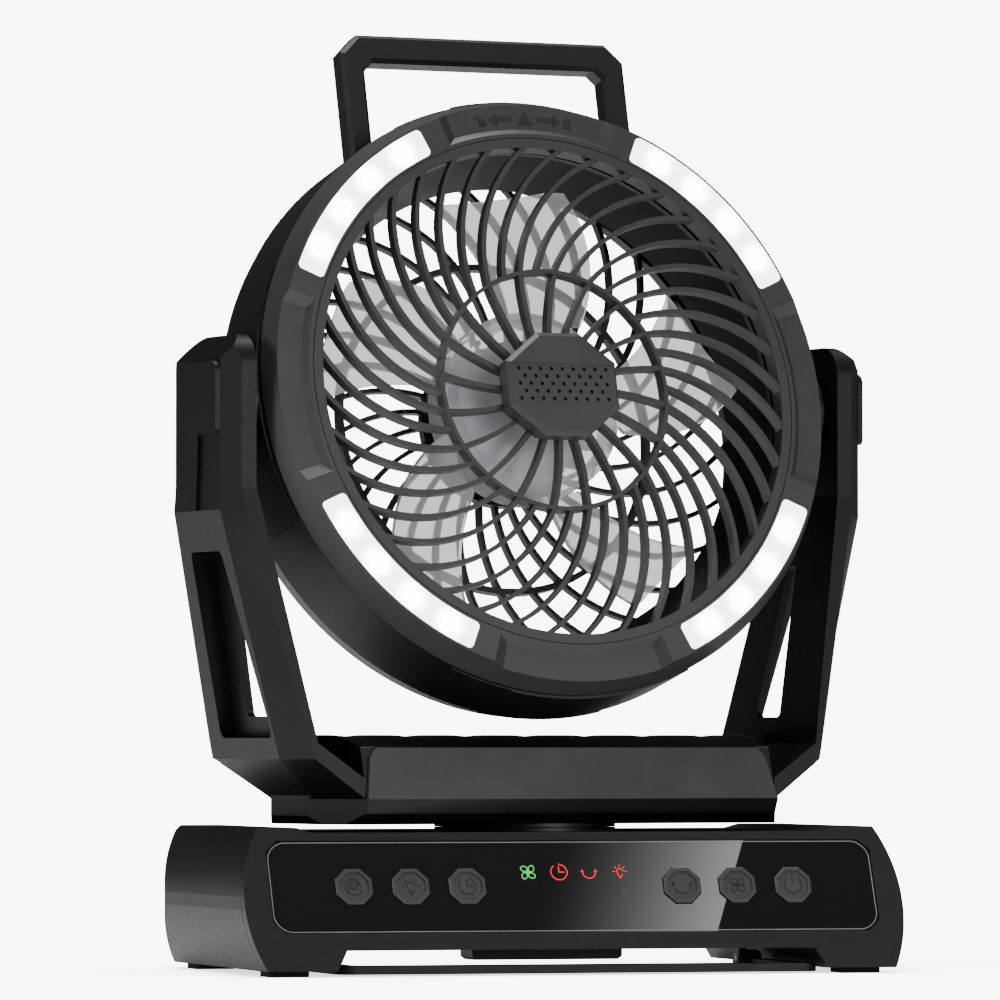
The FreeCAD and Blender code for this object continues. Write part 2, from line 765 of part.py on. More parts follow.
def make_port(kind):
    """Metal port shell with its tongue."""
    shell = port_block(kind, 0)
    hollow = port_block(kind, -USB_WALL)
    hollow.translate(V(0, USB_WALL + 1, 0))
    x = -PORT_PITCH / 2 if kind == "a" else PORT_PITCH / 2
    half = (USB_A_W if kind == "a" else USB_C_W) / 2 - 1.6
    end = BASE_D / 2 - 0.9
    lift_z = 0.6 if kind == "a" else -0.35
    tongue = box(x - half, x + half, end - USB_L + 0.5, end - 1.5, PORT_Z + lift_z, PORT_Z + lift_z + 0.7)
    return shell.cut(hollow).fuse(tongue)


def make_turntable_ring():
    ring = rod(COLLAR_R, V(0, TURN_Y, DECK_Z), V(0, 0, 1), RING_T)
    boss = rod(RING_BOSS_R - 0.05, V(0, TURN_Y, DECK_Z - RING_BOSS_L), V(0, 0, 1), RING_BOSS_L)
    bore = rod(SPINDLE_R + RUNNING_GAP, V(0, TURN_Y, 0), V(0, 0, 1), BASE_H + 9)
    return ring.fuse(boss).cut(bore)


def make_swing_motor():
    low = TUNNEL_Z + COVER_T
    can = rod(SWING_MOTOR_R, V(0, TURN_Y, low), V(0, 0, 1), SWING_MOTOR_H)
    nose = rod(6, V(0, TURN_Y, low), V(0, 0, 1), SWING_MOTOR_H + 3)
    shaft = rod(SWING_SHAFT_R, V(0, TURN_Y, low), V(0, 0, 1), PAN_Z - SPINDLE_L + HUB_T - low)
    return united([can, nose, shaft])


def make_spindle():
    """Hollow spindle, its collar under the crossbar and its hub round the motor shaft."""
    up = V(0, 0, 1)
    tube = rod(SPINDLE_R, V(0, 0, -SPINDLE_L), up, SPINDLE_L)
    collar = rod(COLLAR_R, V(0, 0, -COLLAR_T), up, COLLAR_T)
    hub = rod(HUB_R, V(0, 0, -SPINDLE_L), up, HUB_T)
    bore = rod(SPINDLE_BORE_R, V(0, 0, HUB_T - SPINDLE_L), up, SPINDLE_L)
    shaft_bore = rod(SWING_SHAFT_R + RUNNING_GAP, V(0, 0, -2 * SPINDLE_L), up, 3 * SPINDLE_L)
    return united([tube, collar, hub]).cut(bore).cut(shaft_bore)


def crossbar_outline(inset):
    """Half of the crossbar's side view as (y, z), from the bottom middle to the crown."""
    return [
        (PAN_FLAT_Y - inset, inset),
        (PAN_D / 2 - inset, inset + PAN_CURVE_H),
        (BAR_FRONT_Y - inset, BAR_FULL_Z),
        (BAR_EDGE_Y - inset, BAR_EDGE_Z - inset),
    ]


def crossbar_block(inset, half_length):
    right = crossbar_outline(inset)
    left = [(-y, z) for y, z in reversed(right)]
    x = -half_length
    crown = Part.Arc(V(x, *right[-1]), V(x, 0, CROWN_Z - inset), V(x, *left[0])).toShape()
    under = Part.makePolygon([V(x, *p) for p in left + right])
    face = Part.Face(Part.Wire([crown] + under.Edges))
    return face.extrude(V(2 * half_length, 0, 0))


def above(z):
    return box(-BASE_W, BASE_W, -BASE_W, BASE_W, z, 2 * PIVOT_Z)


def plate_seat():
    """Space taken by the front plate, bounded behind by a plane one plate thickness in."""
    low = BAR_FULL_Z
    high = BAR_EDGE_Z
    points = [
        (-BAR_FRONT_Y + PLATE_T, low), (-BAR_EDGE_Y + PLATE_T, high),
        (-BAR_EDGE_Y + PLATE_T, high + 9), (-2 * BAR_FRONT_Y, high + 9), (-2 * BAR_FRONT_Y, low),
    ]
    return prism("x", points, -BAR_L / 2, BAR_L / 2)


def make_crossbar(screws):
    bar = crossbar_block(0, BAR_L / 2).common(above(BAR_FULL_Z)).cut(plate_seat())
    hollow = crossbar_block(BAR_WALL + PLATE_T, BAR_L / 2 - BAR_WALL).common(above(BAR_FULL_Z - 1))
    bar = bar.cut(hollow)
    for k in range(FLUTES):
        x = (k - (FLUTES - 1) / 2) * FLUTE_PITCH
        valley = [
            (x - FLUTE_W, CROWN_Z + FLUTE_DEPTH),
            (x, CROWN_Z - FLUTE_DEPTH),
            (x + FLUTE_W, CROWN_Z + FLUTE_DEPTH),
        ]
        bar = bar.cut(prism("y", valley, -BASE_D, BASE_D))
    height = BAR_EDGE_Z + 1 - BAR_FULL_Z
    posts = [rod(BOSS_R, V(x, y, BAR_FULL_Z), V(0, 0, 1), height) for x, y in pan_screw_spots()]
    return united([bar] + posts).cut(screws)


def make_front_plate():
    plate = crossbar_block(0, BAR_L / 2).common(above(BAR_FULL_Z)).common(plate_seat())
    top = PLATE_TOP_W / 2
    foot = BAR_L / 2
    outline = [
        (-foot, BAR_FULL_Z), (foot, BAR_FULL_Z), (top + PLATE_CORNER, BAR_EDGE_Z - PLATE_CORNER),
        (top, BAR_EDGE_Z + 1), (-top, BAR_EDGE_Z + 1), (-top - PLATE_CORNER, BAR_EDGE_Z - PLATE_CORNER),
    ]
    outline = prism("y", outline, -BASE_D, 0)
    return plate.common(outline)


def pan_screw_spots():
    return [(x, y) for x in (-PAN_SCREW_X, PAN_SCREW_X) for y in (-PAN_SCREW_Y, PAN_SCREW_Y)]


def yoke_screw_set():
    return Part.makeCompound([screw(V(x, y, 0), V(0, 0, 1)) for x, y in pan_screw_spots()])


def make_pan(screws):
    """Lower half of the crossbar, an open tray."""
    tray = crossbar_block(0, BAR_L / 2).cut(above(BAR_FULL_Z))
    hollow = crossbar_block(BAR_WALL, BAR_L / 2 - BAR_WALL).common(above(BAR_WALL))
    posts = [rod(BOSS_R, V(x, y, 1), V(0, 0, 1), BAR_FULL_Z - 1) for x, y in pan_screw_spots()]
    return united([tray.cut(hollow)] + posts).cut(screws)


def corner_cut(x, y, dx, dy, z):
    """Triangle outside the chamfer that takes dx, dy off the front corner at x, y."""
    a = V(x + dx, y + 2 * dy, z)
    b = V(x - 2 * dx, y - dy, z)
    c = V(x + dx, y - dy, z)
    return Part.makePolygon([a, b, c, a])


def arm_chamfer_tool(front):
    """Cutters for an outer edge of the right arm; the rear one starts at the heel."""
    heel_x, heel_y = (ARM_CHAMFER, HEEL_CHAMFER_D) if front else (REAR_CHAMFER, REAR_CHAMFER)
    toe_x = (PAN_W - BAR_L) / 2
    toe_y = (PAN_D - PAN_SIDE_L) / 2
    corners = [
        corner_cut(ARM_FOOT_OUT_X, -ARM_FOOT_HALF_D, heel_x, heel_y, ARM_HEEL_Z),
        corner_cut(PAN_W / 2, -PAN_D / 2, toe_x, toe_y, BAR_FULL_Z),
        corner_cut(PAN_W / 2, -PAN_D / 2, toe_x, toe_y, -5),
    ]
    if front:
        kink = corner_cut(ARM_OUT_X, -ARM_HALF_D, ARM_CHAMFER, ARM_CHAMFER, ARM_KINK_OUT_Z)
        top = corner_cut(ARM_OUT_X, -ARM_HALF_D, ARM_CHAMFER, ARM_CHAMFER, ARM_TOP_Z + 5)
        corners = [top, kink] + corners
    tools = [Part.makeLoft(list(pair), True, True) for pair in zip(corners, corners[1:])]
    return tools if front else [tool.mirror(V(0, 0, 0), V(0, 1, 0)) for tool in tools]


def arm_front_view():
    """The right arm as (x, z)."""
    return [
        (ARM_IN_X, ARM_TOP_Z),
        (ARM_IN_X, ARM_KINK_IN_Z),
        (ARM_FOOT_IN_X, ARM_FOOT_Z),
        (BAR_L / 2, ARM_SHELF_Z),
        (BAR_L / 2, 0),
        (PAN_W / 2 - 2.5, 0),
        (PAN_W / 2, 3),
        (PAN_W / 2, BAR_FULL_Z + 1.2),
        (ARM_FOOT_OUT_X, ARM_HEEL_Z),
        (ARM_OUT_X, ARM_KINK_OUT_Z),
        (ARM_OUT_X, ARM_SHOULDER_Z),
        (ARM_IN_X + ARM_TOP_T, ARM_TOP_Z),
    ]


def arm_side_view():
    """The arm as (y, z), with its rounded top and its spread foot."""
    half = ARM_HALF_D
    foot = ARM_FOOT_HALF_D
    right = [
        (PAN_FLAT_Y, 0, 0),
        (PAN_D / 2, PAN_CURVE_H, 0),
        (PAN_D / 2, BAR_FULL_Z, 0),
        (foot, ARM_FOOT_Z, 0),
        (half, ARM_KINK_IN_Z, ARM_SPREAD_R),
        (half, ARM_TOP_Z, ARM_TOP_CORNER),
    ]
    return right + [(-y, z, r) for y, z, r in reversed(right)]


def make_arm():
    """Right arm: slab between its front and side views, with chamfers, recess and window."""
    arm = prism("y", arm_front_view(), -BASE_D, BASE_D)
    arm = arm.common(rounded_prism("x", arm_side_view(), 0, BASE_W))
    for tool in arm_chamfer_tool(True) + arm_chamfer_tool(False):
        arm = arm.cut(tool)
    arm = arm.fuse(rear_toe()).removeSplitter()
    recess = [
        (WINDOW_Y - RECESS_FOOT_HALF, RECESS_FOOT_Z, 3), (WINDOW_Y + RECESS_FOOT_HALF, RECESS_FOOT_Z, 3),
        (WINDOW_Y + RECESS_TOP_HALF, RECESS_TOP_Z, 3), (WINDOW_Y - RECESS_TOP_HALF, RECESS_TOP_Z, 3),
    ]
    recess = rounded_prism("x", recess, 0, BASE_W).common(outside_of_web())
    window = [
        (WINDOW_Y - WINDOW_FOOT_HALF, WINDOW_FOOT_Z, 2), (WINDOW_Y + WINDOW_FOOT_HALF, WINDOW_FOOT_Z, 2),
        (WINDOW_Y + WINDOW_TOP_HALF, WINDOW_TOP_Z, 2), (WINDOW_Y - WINDOW_TOP_HALF, WINDOW_TOP_Z, 2),
    ]
    arm = arm.cut(recess).cut(rounded_prism("x", window, 0, BASE_W))
    return arm.cut(rod(PIVOT_R + RUNNING_GAP, V(0, 0, PIVOT_Z), V(1, 0, 0), ARM_OUT_X - 2))


def rear_toe():
    """Rear part of the arm's foot, which carries the crossbar's crown on to the arm."""
    end = ARM_FOOT_IN_X + 1
    corners = [
        (BAR_L / 2, ARM_SHELF_Z - 1), (end, ARM_FOOT_Z - 1),
        (end, CROWN_Z + 1), (BAR_L / 2, CROWN_Z + 1),
    ]
    return crossbar_block(0, end).common(prism("y", corners, 0, ARM_FOOT_HALF_D))


def outside_of_web():
    """Space beyond the wall that the recess leaves."""
    points = [
        (ARM_FOOT_IN_X + ARM_WEB, ARM_FOOT_Z), (ARM_IN_X + ARM_WEB, ARM_KINK_IN_Z),
        (ARM_IN_X + ARM_WEB, ARM_TOP_Z), (BASE_W, ARM_TOP_Z), (BASE_W, ARM_FOOT_Z),
    ]
    return prism("y", points, -BASE_D, BASE_D)


def make_arm_cover():
    """Outer cover of the right arm: a low plate with the raised pad over the tilt axis."""
    x = ARM_OUT_X
    low = [
        (0, ARM_COVER_MID_Z), (2, ARM_KINK_OUT_Z),
        (ARM_COVER_BACK, ARM_KINK_OUT_Z), (ARM_COVER_BACK, ARM_COVER_MID_Z),
    ]
    pad = [
        (ARM_COVER_FRONT, ARM_COVER_MID_Z, 2), (ARM_COVER_BACK, ARM_COVER_MID_Z, 2),
        (ARM_COVER_BACK, ARM_SHOULDER_Z - 1, 4), (ARM_COVER_FRONT, ARM_SHOULDER_Z - 1, 4),
    ]
    plate = prism("x", low, x, x + ARM_COVER_T)
    raised = rounded_prism("x", pad, x, x + ARM_COVER_T + ARM_PAD_T)
    return united([plate, raised])


def make_washer():
    ring = rod(WASHER_R, V(ARM_IN_X - WASHER_T, 0, PIVOT_Z), V(1, 0, 0), WASHER_T)
    return ring.cut(rod(PIVOT_R + 0.3, V(0, 0, PIVOT_Z), V(1, 0, 0), BASE_W))


def head_seat_x():
    return ARM_IN_X - WASHER_T - 0.3


def make_pivot():
    """Right stub of the tilt axis, in the head's own place."""
    inner = DRUM_R - DRUM_WALL - 3
    stub = rod(PIVOT_R, V(inner, 0, 0), V(1, 0, 0), ARM_OUT_X - 3 - inner)
    flange = rod(PIVOT_R + 3, V(inner, 0, 0), V(1, 0, 0), 2)
    return stub.fuse(flange).cut(rod(3.5, V(inner - 1, 0, 0), V(1, 0, 0), BASE_W))


def drum_pads():
    """Stepped pads on four sides of the drum."""
    pads = []
    for step, half_angle in ((1, PAD_ANGLE_WIDE), (2, PAD_ANGLE_NARROW)):
        pad = sector(DRUM_R - DRUM_WALL / 2, DRUM_R + step * PAD_STEP, half_angle, PAD_FRONT, PAD_BACK)
        for k in range(4):
            pads.append(spun(pad, 90 * k))
    return pads


def make_housing():
    """Drum with a web behind the bezel."""
    front = BEZEL_L + SEAM
    wall = DRUM_WALL
    profile = [
        (DUCT_IN_R, front), (DRUM_R, front), (DRUM_R, DRUM_STRAIGHT),
        ((DRUM_R + DRUM_BACK_R) / 2 + 1.5, DRUM_L - 5), (DRUM_BACK_R, DRUM_L), (REAR_OPEN_R, DRUM_L),
        (REAR_OPEN_R, DRUM_L - 2.2), (DRUM_BACK_R - 1, DRUM_L - 2.4),
        ((DRUM_R + DRUM_BACK_R) / 2 - 1.4, DRUM_L - 6), (DRUM_R - wall, DRUM_STRAIGHT),
        (DRUM_R - wall, front + wall), (DUCT_IN_R, front + wall),
    ]
    drum = united([head_ring(profile)] + drum_pads())
    for side in (-1, 1):
        root = DRUM_R - wall - 1
        seat = rod(PIVOT_SEAT_R, V(side * root, 0, 0), V(side, 0, 0), head_seat_x() - root)
        drum = drum.fuse(seat)
    for side in (-1, 1):
        drum = drum.cut(rod(PIVOT_R, V(0, 0, 0), V(side, 0, 0), BASE_W))
        flange_hole = rod(PIVOT_R + 3, V(side * (DRUM_R - wall - 3), 0, 0), V(side, 0, 0), 2)
        drum = drum.cut(flange_hole)
    for side in (-1, 1):
        x = side * (HANDLE_W / 2 - HANDLE_LEG_W / 2)
        w = HANDLE_LEG_W / 2 + HANDLE_SOCKET_GAP
        d = HANDLE_D / 2 + HANDLE_SOCKET_GAP
        drum = drum.cut(box(x - w, x + w, HANDLE_Y - d, HANDLE_Y + d, HANDLE_FOOT, HANDLE_TOP))
    return drum


def make_duct():
    """Funnel round the fan wheel, its flange against the back of the drum's web."""
    seat = BEZEL_L + SEAM + DRUM_WALL
    return head_ring([
        (DUCT_IN_R, seat), (DUCT_FLANGE_R, seat), (DUCT_FLANGE_R, seat + DUCT_WALL),
        (DUCT_IN_R + DUCT_WALL, seat + DUCT_WALL), (DUCT_OUT_R + DUCT_WALL, DUCT_END), (DUCT_OUT_R, DUCT_END),
    ])


def make_handle():
    """Carry handle with chamfered corners, its legs set into the drum."""
    half = HANDLE_W / 2
    c = HANDLE_CORNER
    outer = [(-half, HANDLE_FOOT), (-half, HANDLE_TOP - c), (-half + c, HANDLE_TOP)]
    outer += [(-x, z) for x, z in reversed(outer)]
    inner_half = half - HANDLE_LEG_W
    inner_top = HANDLE_TOP - HANDLE_BAR_H
    c = HANDLE_INNER_CORNER
    inner = [(-inner_half, HANDLE_FOOT - 9), (-inner_half, inner_top - c), (-inner_half + c, inner_top)]
    inner += [(-x, z) for x, z in reversed(inner)]
    y0 = HANDLE_Y - HANDLE_D / 2
    y1 = HANDLE_Y + HANDLE_D / 2
    loop = prism("y", outer, y0, y1).cut(prism("y", inner, y0 - 1, y1 + 1))
    edges = [e for e in loop.Edges if e.BoundBox.YLength < 1e-6 and e.BoundBox.ZMax > HANDLE_FOOT + 0.01]
    return loop.makeChamfer(HANDLE_BEVEL, edges)


def lamp_sector(shrink, start, end):
    """Ring sector with rounded corners that fits a lamp's recess."""
    turn = math.degrees(shrink / LAMP_OUT_R)
    body = sector(LAMP_IN_R + shrink, LAMP_OUT_R - shrink, LAMP_ANGLE - turn, start, end)
    across = [e for e in body.Edges if e.BoundBox.YLength > 0.9 * (end - start)]
    return spun(body.makeFillet(LAMP_CORNER, across), 45)


def make_bezel():
    """Lamp ring with four lamp recesses, four open pockets and the bayonet slots."""
    wall = 2.4
    groove_r = LUG_R + GRILLE_GAP
    plate = head_ring([
        (BEZEL_BORE_R, 0), (BEZEL_R, 0), (DRUM_R, BEZEL_L),
        (DRUM_R - wall, BEZEL_L), (BEZEL_R, BEZEL_T), (BEZEL_BORE_R, BEZEL_T),
    ])
    skirt_r = groove_r + wall
    skirt = head_ring([(groove_r, BEZEL_T), (skirt_r, BEZEL_T), (skirt_r, BEZEL_L), (groove_r, BEZEL_L)])
    ring = plate.fuse(skirt)
    rebate_r = GRILLE_FLANGE_R + GRILLE_GAP
    rebate = GRILLE_FLANGE_T + GRILLE_GAP
    inside = DUCT_IN_R - 9
    ring = ring.cut(head_ring([(inside, -1), (rebate_r, -1), (rebate_r, rebate), (inside, rebate)]))
    lamp = lamp_sector(0, -1, LAMP_LENS_T + LAMP_BOARD_T + LAMP_GAP)
    face = sector_wire(POCKET_IN_R, 2 * BEZEL_R, POCKET_ANGLE, 0)
    floor = sector_wire(POCKET_IN_R + POCKET_SLOPE, 2 * BEZEL_R, POCKET_ANGLE - POCKET_SLOPE, POCKET_DEPTH)
    pocket = Part.makeLoft([face, floor], True, True)
    slot = sector(BEZEL_BORE_R - 1, groove_r, LUG_ANGLE + 0.5, 1, BEZEL_T + 0.1)
    for k in range(4):
        ring = ring.cut(spun(lamp, 90 * k)).cut(spun(pocket, 90 * k))
    for k in range(LUGS):
        ring = ring.cut(spun(slot, 45 + TWIST_ANGLE + 360 / LUGS * k))
    return ring


def make_lens():
    return lamp_sector(LAMP_GAP, 0, LAMP_LENS_T)


def make_lamp_boards():
    """Four boards, each with a row of four light chips."""
    boards = []
    for k in range(4):
        board = lamp_sector(2 * LAMP_GAP, LAMP_LENS_T + LAMP_GAP, LAMP_LENS_T + LAMP_GAP + LAMP_BOARD_T)
        boards.append(spun(board, 90 * k))
    return Part.makeCompound(boards)


def bar_face(r_in, r_out, midway, sweep, width, depth):
    """Flat outline of one curved bar that swings clockwise as it goes out."""
    turns = [math.radians(-t) for t in (0, midway, sweep)]
    radii = [r_in, (r_in + r_out) / 2, r_out]
    p, q, r = [V(d * math.cos(t), d * math.sin(t), 0) for d, t in zip(radii, turns)]
    circle = Part.Arc(p, q, r).toShape().Curve
    centre = circle.Center
    inner = [centre + (point - centre).normalize() * (circle.Radius - width / 2) for point in (p, q, r)]
    outer = [centre + (point - centre).normalize() * (circle.Radius + width / 2) for point in (r, q, p)]
    inner = [V(point.x, behind(depth), point.y) for point in inner]
    outer = [V(point.x, behind(depth), point.y) for point in outer]
    edges = [Part.Arc(*inner).toShape(), Part.makeLine(inner[2], outer[0])]
    edges += [Part.Arc(*outer).toShape(), Part.makeLine(outer[2], inner[0])]
    return Part.Face(Part.Wire(edges))


def bar_set(count, r_in, r_out, midway, sweep, start, length):
    bar = bar_face(r_in, r_out, midway, sweep, BAR_W, start).extrude(V(0, length, 0))
    return [spun(bar, 360 / count * k) for k in range(count)]


def make_grille():
    """Curved bars on a middle ring and an outer ring that carries the bayonet lugs."""
    half = MID_RING_W / 2
    rings = [
        head_ring([
            (GRILLE_RING_BORE_R, 0), (GRILLE_FLANGE_R, 0), (GRILLE_FLANGE_R, GRILLE_FLANGE_T),
            (GRILLE_RING_R, GRILLE_FLANGE_T), (GRILLE_RING_R, GRILLE_RING_L),
            (GRILLE_RING_BORE_R, GRILLE_RING_L),
        ]),
        head_ring([
            (MID_RING_R - half, 0), (MID_RING_R + half, 0),
            (MID_RING_R + half, BAR_D + 0.8), (MID_RING_R - half, BAR_D + 0.8),
        ]),
        prism("y", cap_outline(HUB_INSET), behind(CAP_SEAT_DEPTH), behind(BAR_D)),
    ]
    outer_midway = OUTER_BAR_MIDWAY
    reach = GRILLE_RING_BORE_R + 0.6
    bars = bar_set(OUTER_BARS, MID_RING_R, reach, outer_midway, OUTER_BAR_SWEEP, 0.3, BAR_D)
    hub_r = CAP_H / 2 - 2 * HUB_INSET
    inner = bar_set(INNER_BARS, hub_r, MID_RING_R, INNER_BAR_SWEEP * 0.45, INNER_BAR_SWEEP, 0.3, BAR_D)
    bars = [spun(bar, BAR_TURN) for bar in bars]
    bars += [spun(bar, BAR_TURN + INNER_BAR_SWEEP + 180 / INNER_BARS) for bar in inner]
    lug = sector(GRILLE_RING_R - 0.5, LUG_R, LUG_ANGLE, BEZEL_T + GRILLE_GAP, BEZEL_T + GRILLE_GAP + LUG_T)
    lugs = [spun(lug, 45 + 360 / LUGS * k) for k in range(LUGS)]
    return united(rings + bars + lugs)


def cap_outline(inset):
    """Octagon of the cap as (x, z), with equal edges left, right, above and below."""
    w = CAP_W / 2 - inset
    h = CAP_H / 2 - inset
    e = CAP_EDGE / 2 - inset * math.tan(math.pi / 8)
    right = [(e, -h), (w, -e), (w, e), (e, h)]
    return right + [(-x, z) for x, z in reversed(right)]


def hexagon(radius, u, v):
    ring = [math.radians(60 * k) for k in range(6)]
    return [(u + radius * math.cos(a), v + radius * math.sin(a)) for a in ring]


def make_cap():
    """Centre cap: octagon with a bevelled rim, a lower band and its rows of holes."""
    face = behind(-CAP_PROUD)
    back = behind(CAP_SEAT_DEPTH)
    body = prism("y", cap_outline(0), face, back)
    body = body.makeChamfer(CAP_BEVEL, [e for e in body.Edges if e.BoundBox.YMax < face + 0.01])
    band_half = CAP_ROW_PITCH * (CAP_ROWS - 1) / 2 + 2.0
    band = box(-CAP_W, CAP_W, face - 1, face + 0.5, -band_half, band_half)
    cap = body.cut(band)
    holes = []
    for row in range(CAP_ROWS):
        count = CAP_ROW_HOLES - row % 2
        z = (row - (CAP_ROWS - 1) / 2) * CAP_ROW_PITCH
        for k in range(count):
            x = (k - (count - 1) / 2) * CAP_HOLE_PITCH
            holes.append(prism("y", hexagon(CAP_HOLE_R, x, z), face - 1, face + 2))
    return cap.cut(Part.makeCompound(holes))


def make_rear_grille(screws):
    """Rear guard: curved bars that swing the other way, two rings and the motor plate."""
    back = DRUM_L + 0.4
    lip = DRUM_L - 2.2
    ring = head_ring([
        (REAR_RING_BORE_R, lip - 2.2), (REAR_FLANGE_R, lip - 2.2), (REAR_FLANGE_R, lip - 0.2),
        (REAR_RING_R, lip - 0.2), (REAR_RING_R, back), (REAR_RING_BORE_R, back),
    ])
    middle = head_ring([
        (REAR_MID_R - 1.2, back - 4), (REAR_MID_R + 1.2, back - 4),
        (REAR_MID_R + 1.2, back), (REAR_MID_R - 1.2, back),
    ])
    plate = head_ring([
        (SHAFT_R + 1, back - 5), (REAR_HUB_R, back - 5), (REAR_HUB_R, back - 1),
        (REAR_HUB_R - 2, back), (SHAFT_R + 1, back),
    ])
    start = back - 0.3 - REAR_BAR_D
    root = REAR_HUB_R - 1
    tip = REAR_RING_BORE_R + 1
    bars = bar_set(REAR_BARS, root, tip, REAR_BAR_MIDWAY, REAR_BAR_SWEEP, start, REAR_BAR_D)
    return united([ring, middle, plate] + bars).cut(screws)


def head_screw_set():
    """Screws through the drum's rear lip into the rear guard's flange."""
    radius = (REAR_RING_R + REAR_FLANGE_R) / 2 + 0.3
    spots = [polar(radius, 45 + 90 * k, DRUM_L + SCREW_HEAD_T) for k in range(4)]
    return Part.makeCompound([screw(spot, V(0, -1, 0)) for spot in spots])


def make_motor():
    back = DRUM_L + 0.4 - 5
    can = head_ring([
        (0, MOTOR_FRONT), (MOTOR_R - 2, MOTOR_FRONT), (MOTOR_R, MOTOR_FRONT + 2), (MOTOR_R, back), (0, back),
    ])
    return can.cut(rod(SHAFT_R + RUNNING_GAP, V(0, behind(0), 0), V(0, 1, 0), DRUM_L - 8))


def make_shaft():
    return rod(SHAFT_R, V(0, behind(WHEEL_FRONT + 3), 0), V(0, 1, 0), DRUM_L - 9 - WHEEL_FRONT - 3)


def blade_section(radius, chord, pitch, camber, sweep, thickness):
    """Closed outline of a blade across its span, as a cambered strip."""
    middle = behind((WHEEL_FRONT + WHEEL_BACK) / 2 + 1.5)
    p = math.radians(pitch)
    t = math.radians(sweep)
    outline = []
    for u, lift_by in ((-0.5, 0), (0, camber), (0.5, 0)):
        outline.append((u * chord, lift_by * chord))
    under = [(u, v - thickness) for u, v in reversed(outline)]
    points = []
    for u, v in outline + under:
        along = u * math.cos(p) - v * math.sin(p)
        axial = u * math.sin(p) + v * math.cos(p)
        x = radius * math.cos(t) - along * math.sin(t)
        z = radius * math.sin(t) + along * math.cos(t)
        points.append(V(x, middle + axial, z))
    a, b, c, d, e, f = points
    return Part.Wire([
        Part.Arc(a, b, c).toShape(), Part.makeLine(c, d), Part.Arc(d, e, f).toShape(), Part.makeLine(f, a),
    ])


def make_wheel():
    """Domed hub with a hollow back and five swept, twisted blades."""
    hub = head_ring([
        (0, WHEEL_FRONT), (WHEEL_HUB_R * 0.55, WHEEL_FRONT + 0.6), (WHEEL_HUB_R - 4, WHEEL_FRONT + 2.4),
        (WHEEL_HUB_R, WHEEL_FRONT + 6), (WHEEL_HUB_R, WHEEL_BACK), (WHEEL_HUB_R - WHEEL_WALL, WHEEL_BACK),
        (WHEEL_HUB_R - WHEEL_WALL, WHEEL_FRONT + 8), (WHEEL_HUB_R - 6, WHEEL_FRONT + 4.5),
        (SHAFT_R + 3, WHEEL_FRONT + 3.5), (SHAFT_R + 3, MOTOR_FRONT - 1), (0, MOTOR_FRONT - 1),
    ])
    sections = [
        blade_section(WHEEL_HUB_R - 1, ROOT_CHORD, ROOT_PITCH, 0.06, 0, BLADE_T),
        blade_section((WHEEL_HUB_R + WHEEL_R) / 2, MID_CHORD, MID_PITCH, 0.08, MID_SWEEP, BLADE_T),
        blade_section(WHEEL_R - TIP_GAP, TIP_CHORD, TIP_PITCH, 0.07, TIP_SWEEP, BLADE_TIP_T),
    ]
    blade = Part.makeLoft(sections, True, False)
    limit = head_ring([(0, 0), (WHEEL_R, 0), (WHEEL_R, DRUM_L), (0, DRUM_L)])
    blade = blade.common(limit)
    wheel = united([hub] + [spun(blade, 360 / BLADES * k) for k in range(BLADES)])
    core = head_ring([
        (0, WHEEL_FRONT + 8.1), (WHEEL_HUB_R - WHEEL_WALL, WHEEL_FRONT + 8.1),
        (WHEEL_HUB_R - WHEEL_WALL, DRUM_L), (0, DRUM_L),
    ])
    core = core.cut(rod(SHAFT_R + 3, V(0, behind(0), 0), V(0, 1, 0), MOTOR_FRONT - 1))
    wheel = wheel.cut(core)
    return wheel.cut(rod(SHAFT_R, V(0, behind(WHEEL_FRONT + 3), 0), V(0, 1, 0), DRUM_L))


def make_base():
    screws = base_screw_set()
    keep("base_shell", make_base_shell(screws))
    keep("base_fascia", make_base_fascia())
    keep("base_bottom_cover", make_bottom_cover(screws))
    keep("base_screws", screws)
    keep("bail_pins", bail_pin_set())
    keep("hanging_bail", make_bail())
    keep("rubber_feet", make_rubber_feet())
    keep("control_panel", make_control_panel())
    keep("ir_window", make_ir_window())
    keep("control_board", make_control_board())
    keep("battery_cells", make_battery())
    keep("rear_port_panel", make_port_panel())
    keep("usb_a_port", make_port("a"))
    keep("usb_c_port", make_port("c"))
    keep("turntable_ring", make_turntable_ring())
    keep("oscillation_motor", make_swing_motor())
    names = ["mode", "lamp", "timer", "swing", "fan", "power"]
    for name, x in zip(names, button_centres()):
        keep("button_" + name, make_button(x))


def make_yoke():
    screws = yoke_screw_set()
    keep("turntable_spindle", on_yoke(make_spindle()))
    keep("yoke_pan", on_yoke(make_pan(screws)))
    keep("yoke_crossbar", on_yoke(make_crossbar(screws)))
    keep("yoke_screws", on_yoke(screws))
    keep("yoke_front_plate", on_yoke(make_front_plate()))
    arm = make_arm()
    cover = make_arm_cover()
    keep("yoke_arm_right", on_yoke(arm))
    keep("yoke_arm_left", on_yoke(mirrored(arm)))
    keep("arm_cover_right", on_yoke(cover))
    keep("arm_cover_left", on_yoke(mirrored(cover)))
    washer = make_washer()
    keep("pivot_washers", on_yoke(Part.makeCompound([washer, mirrored(washer)])))


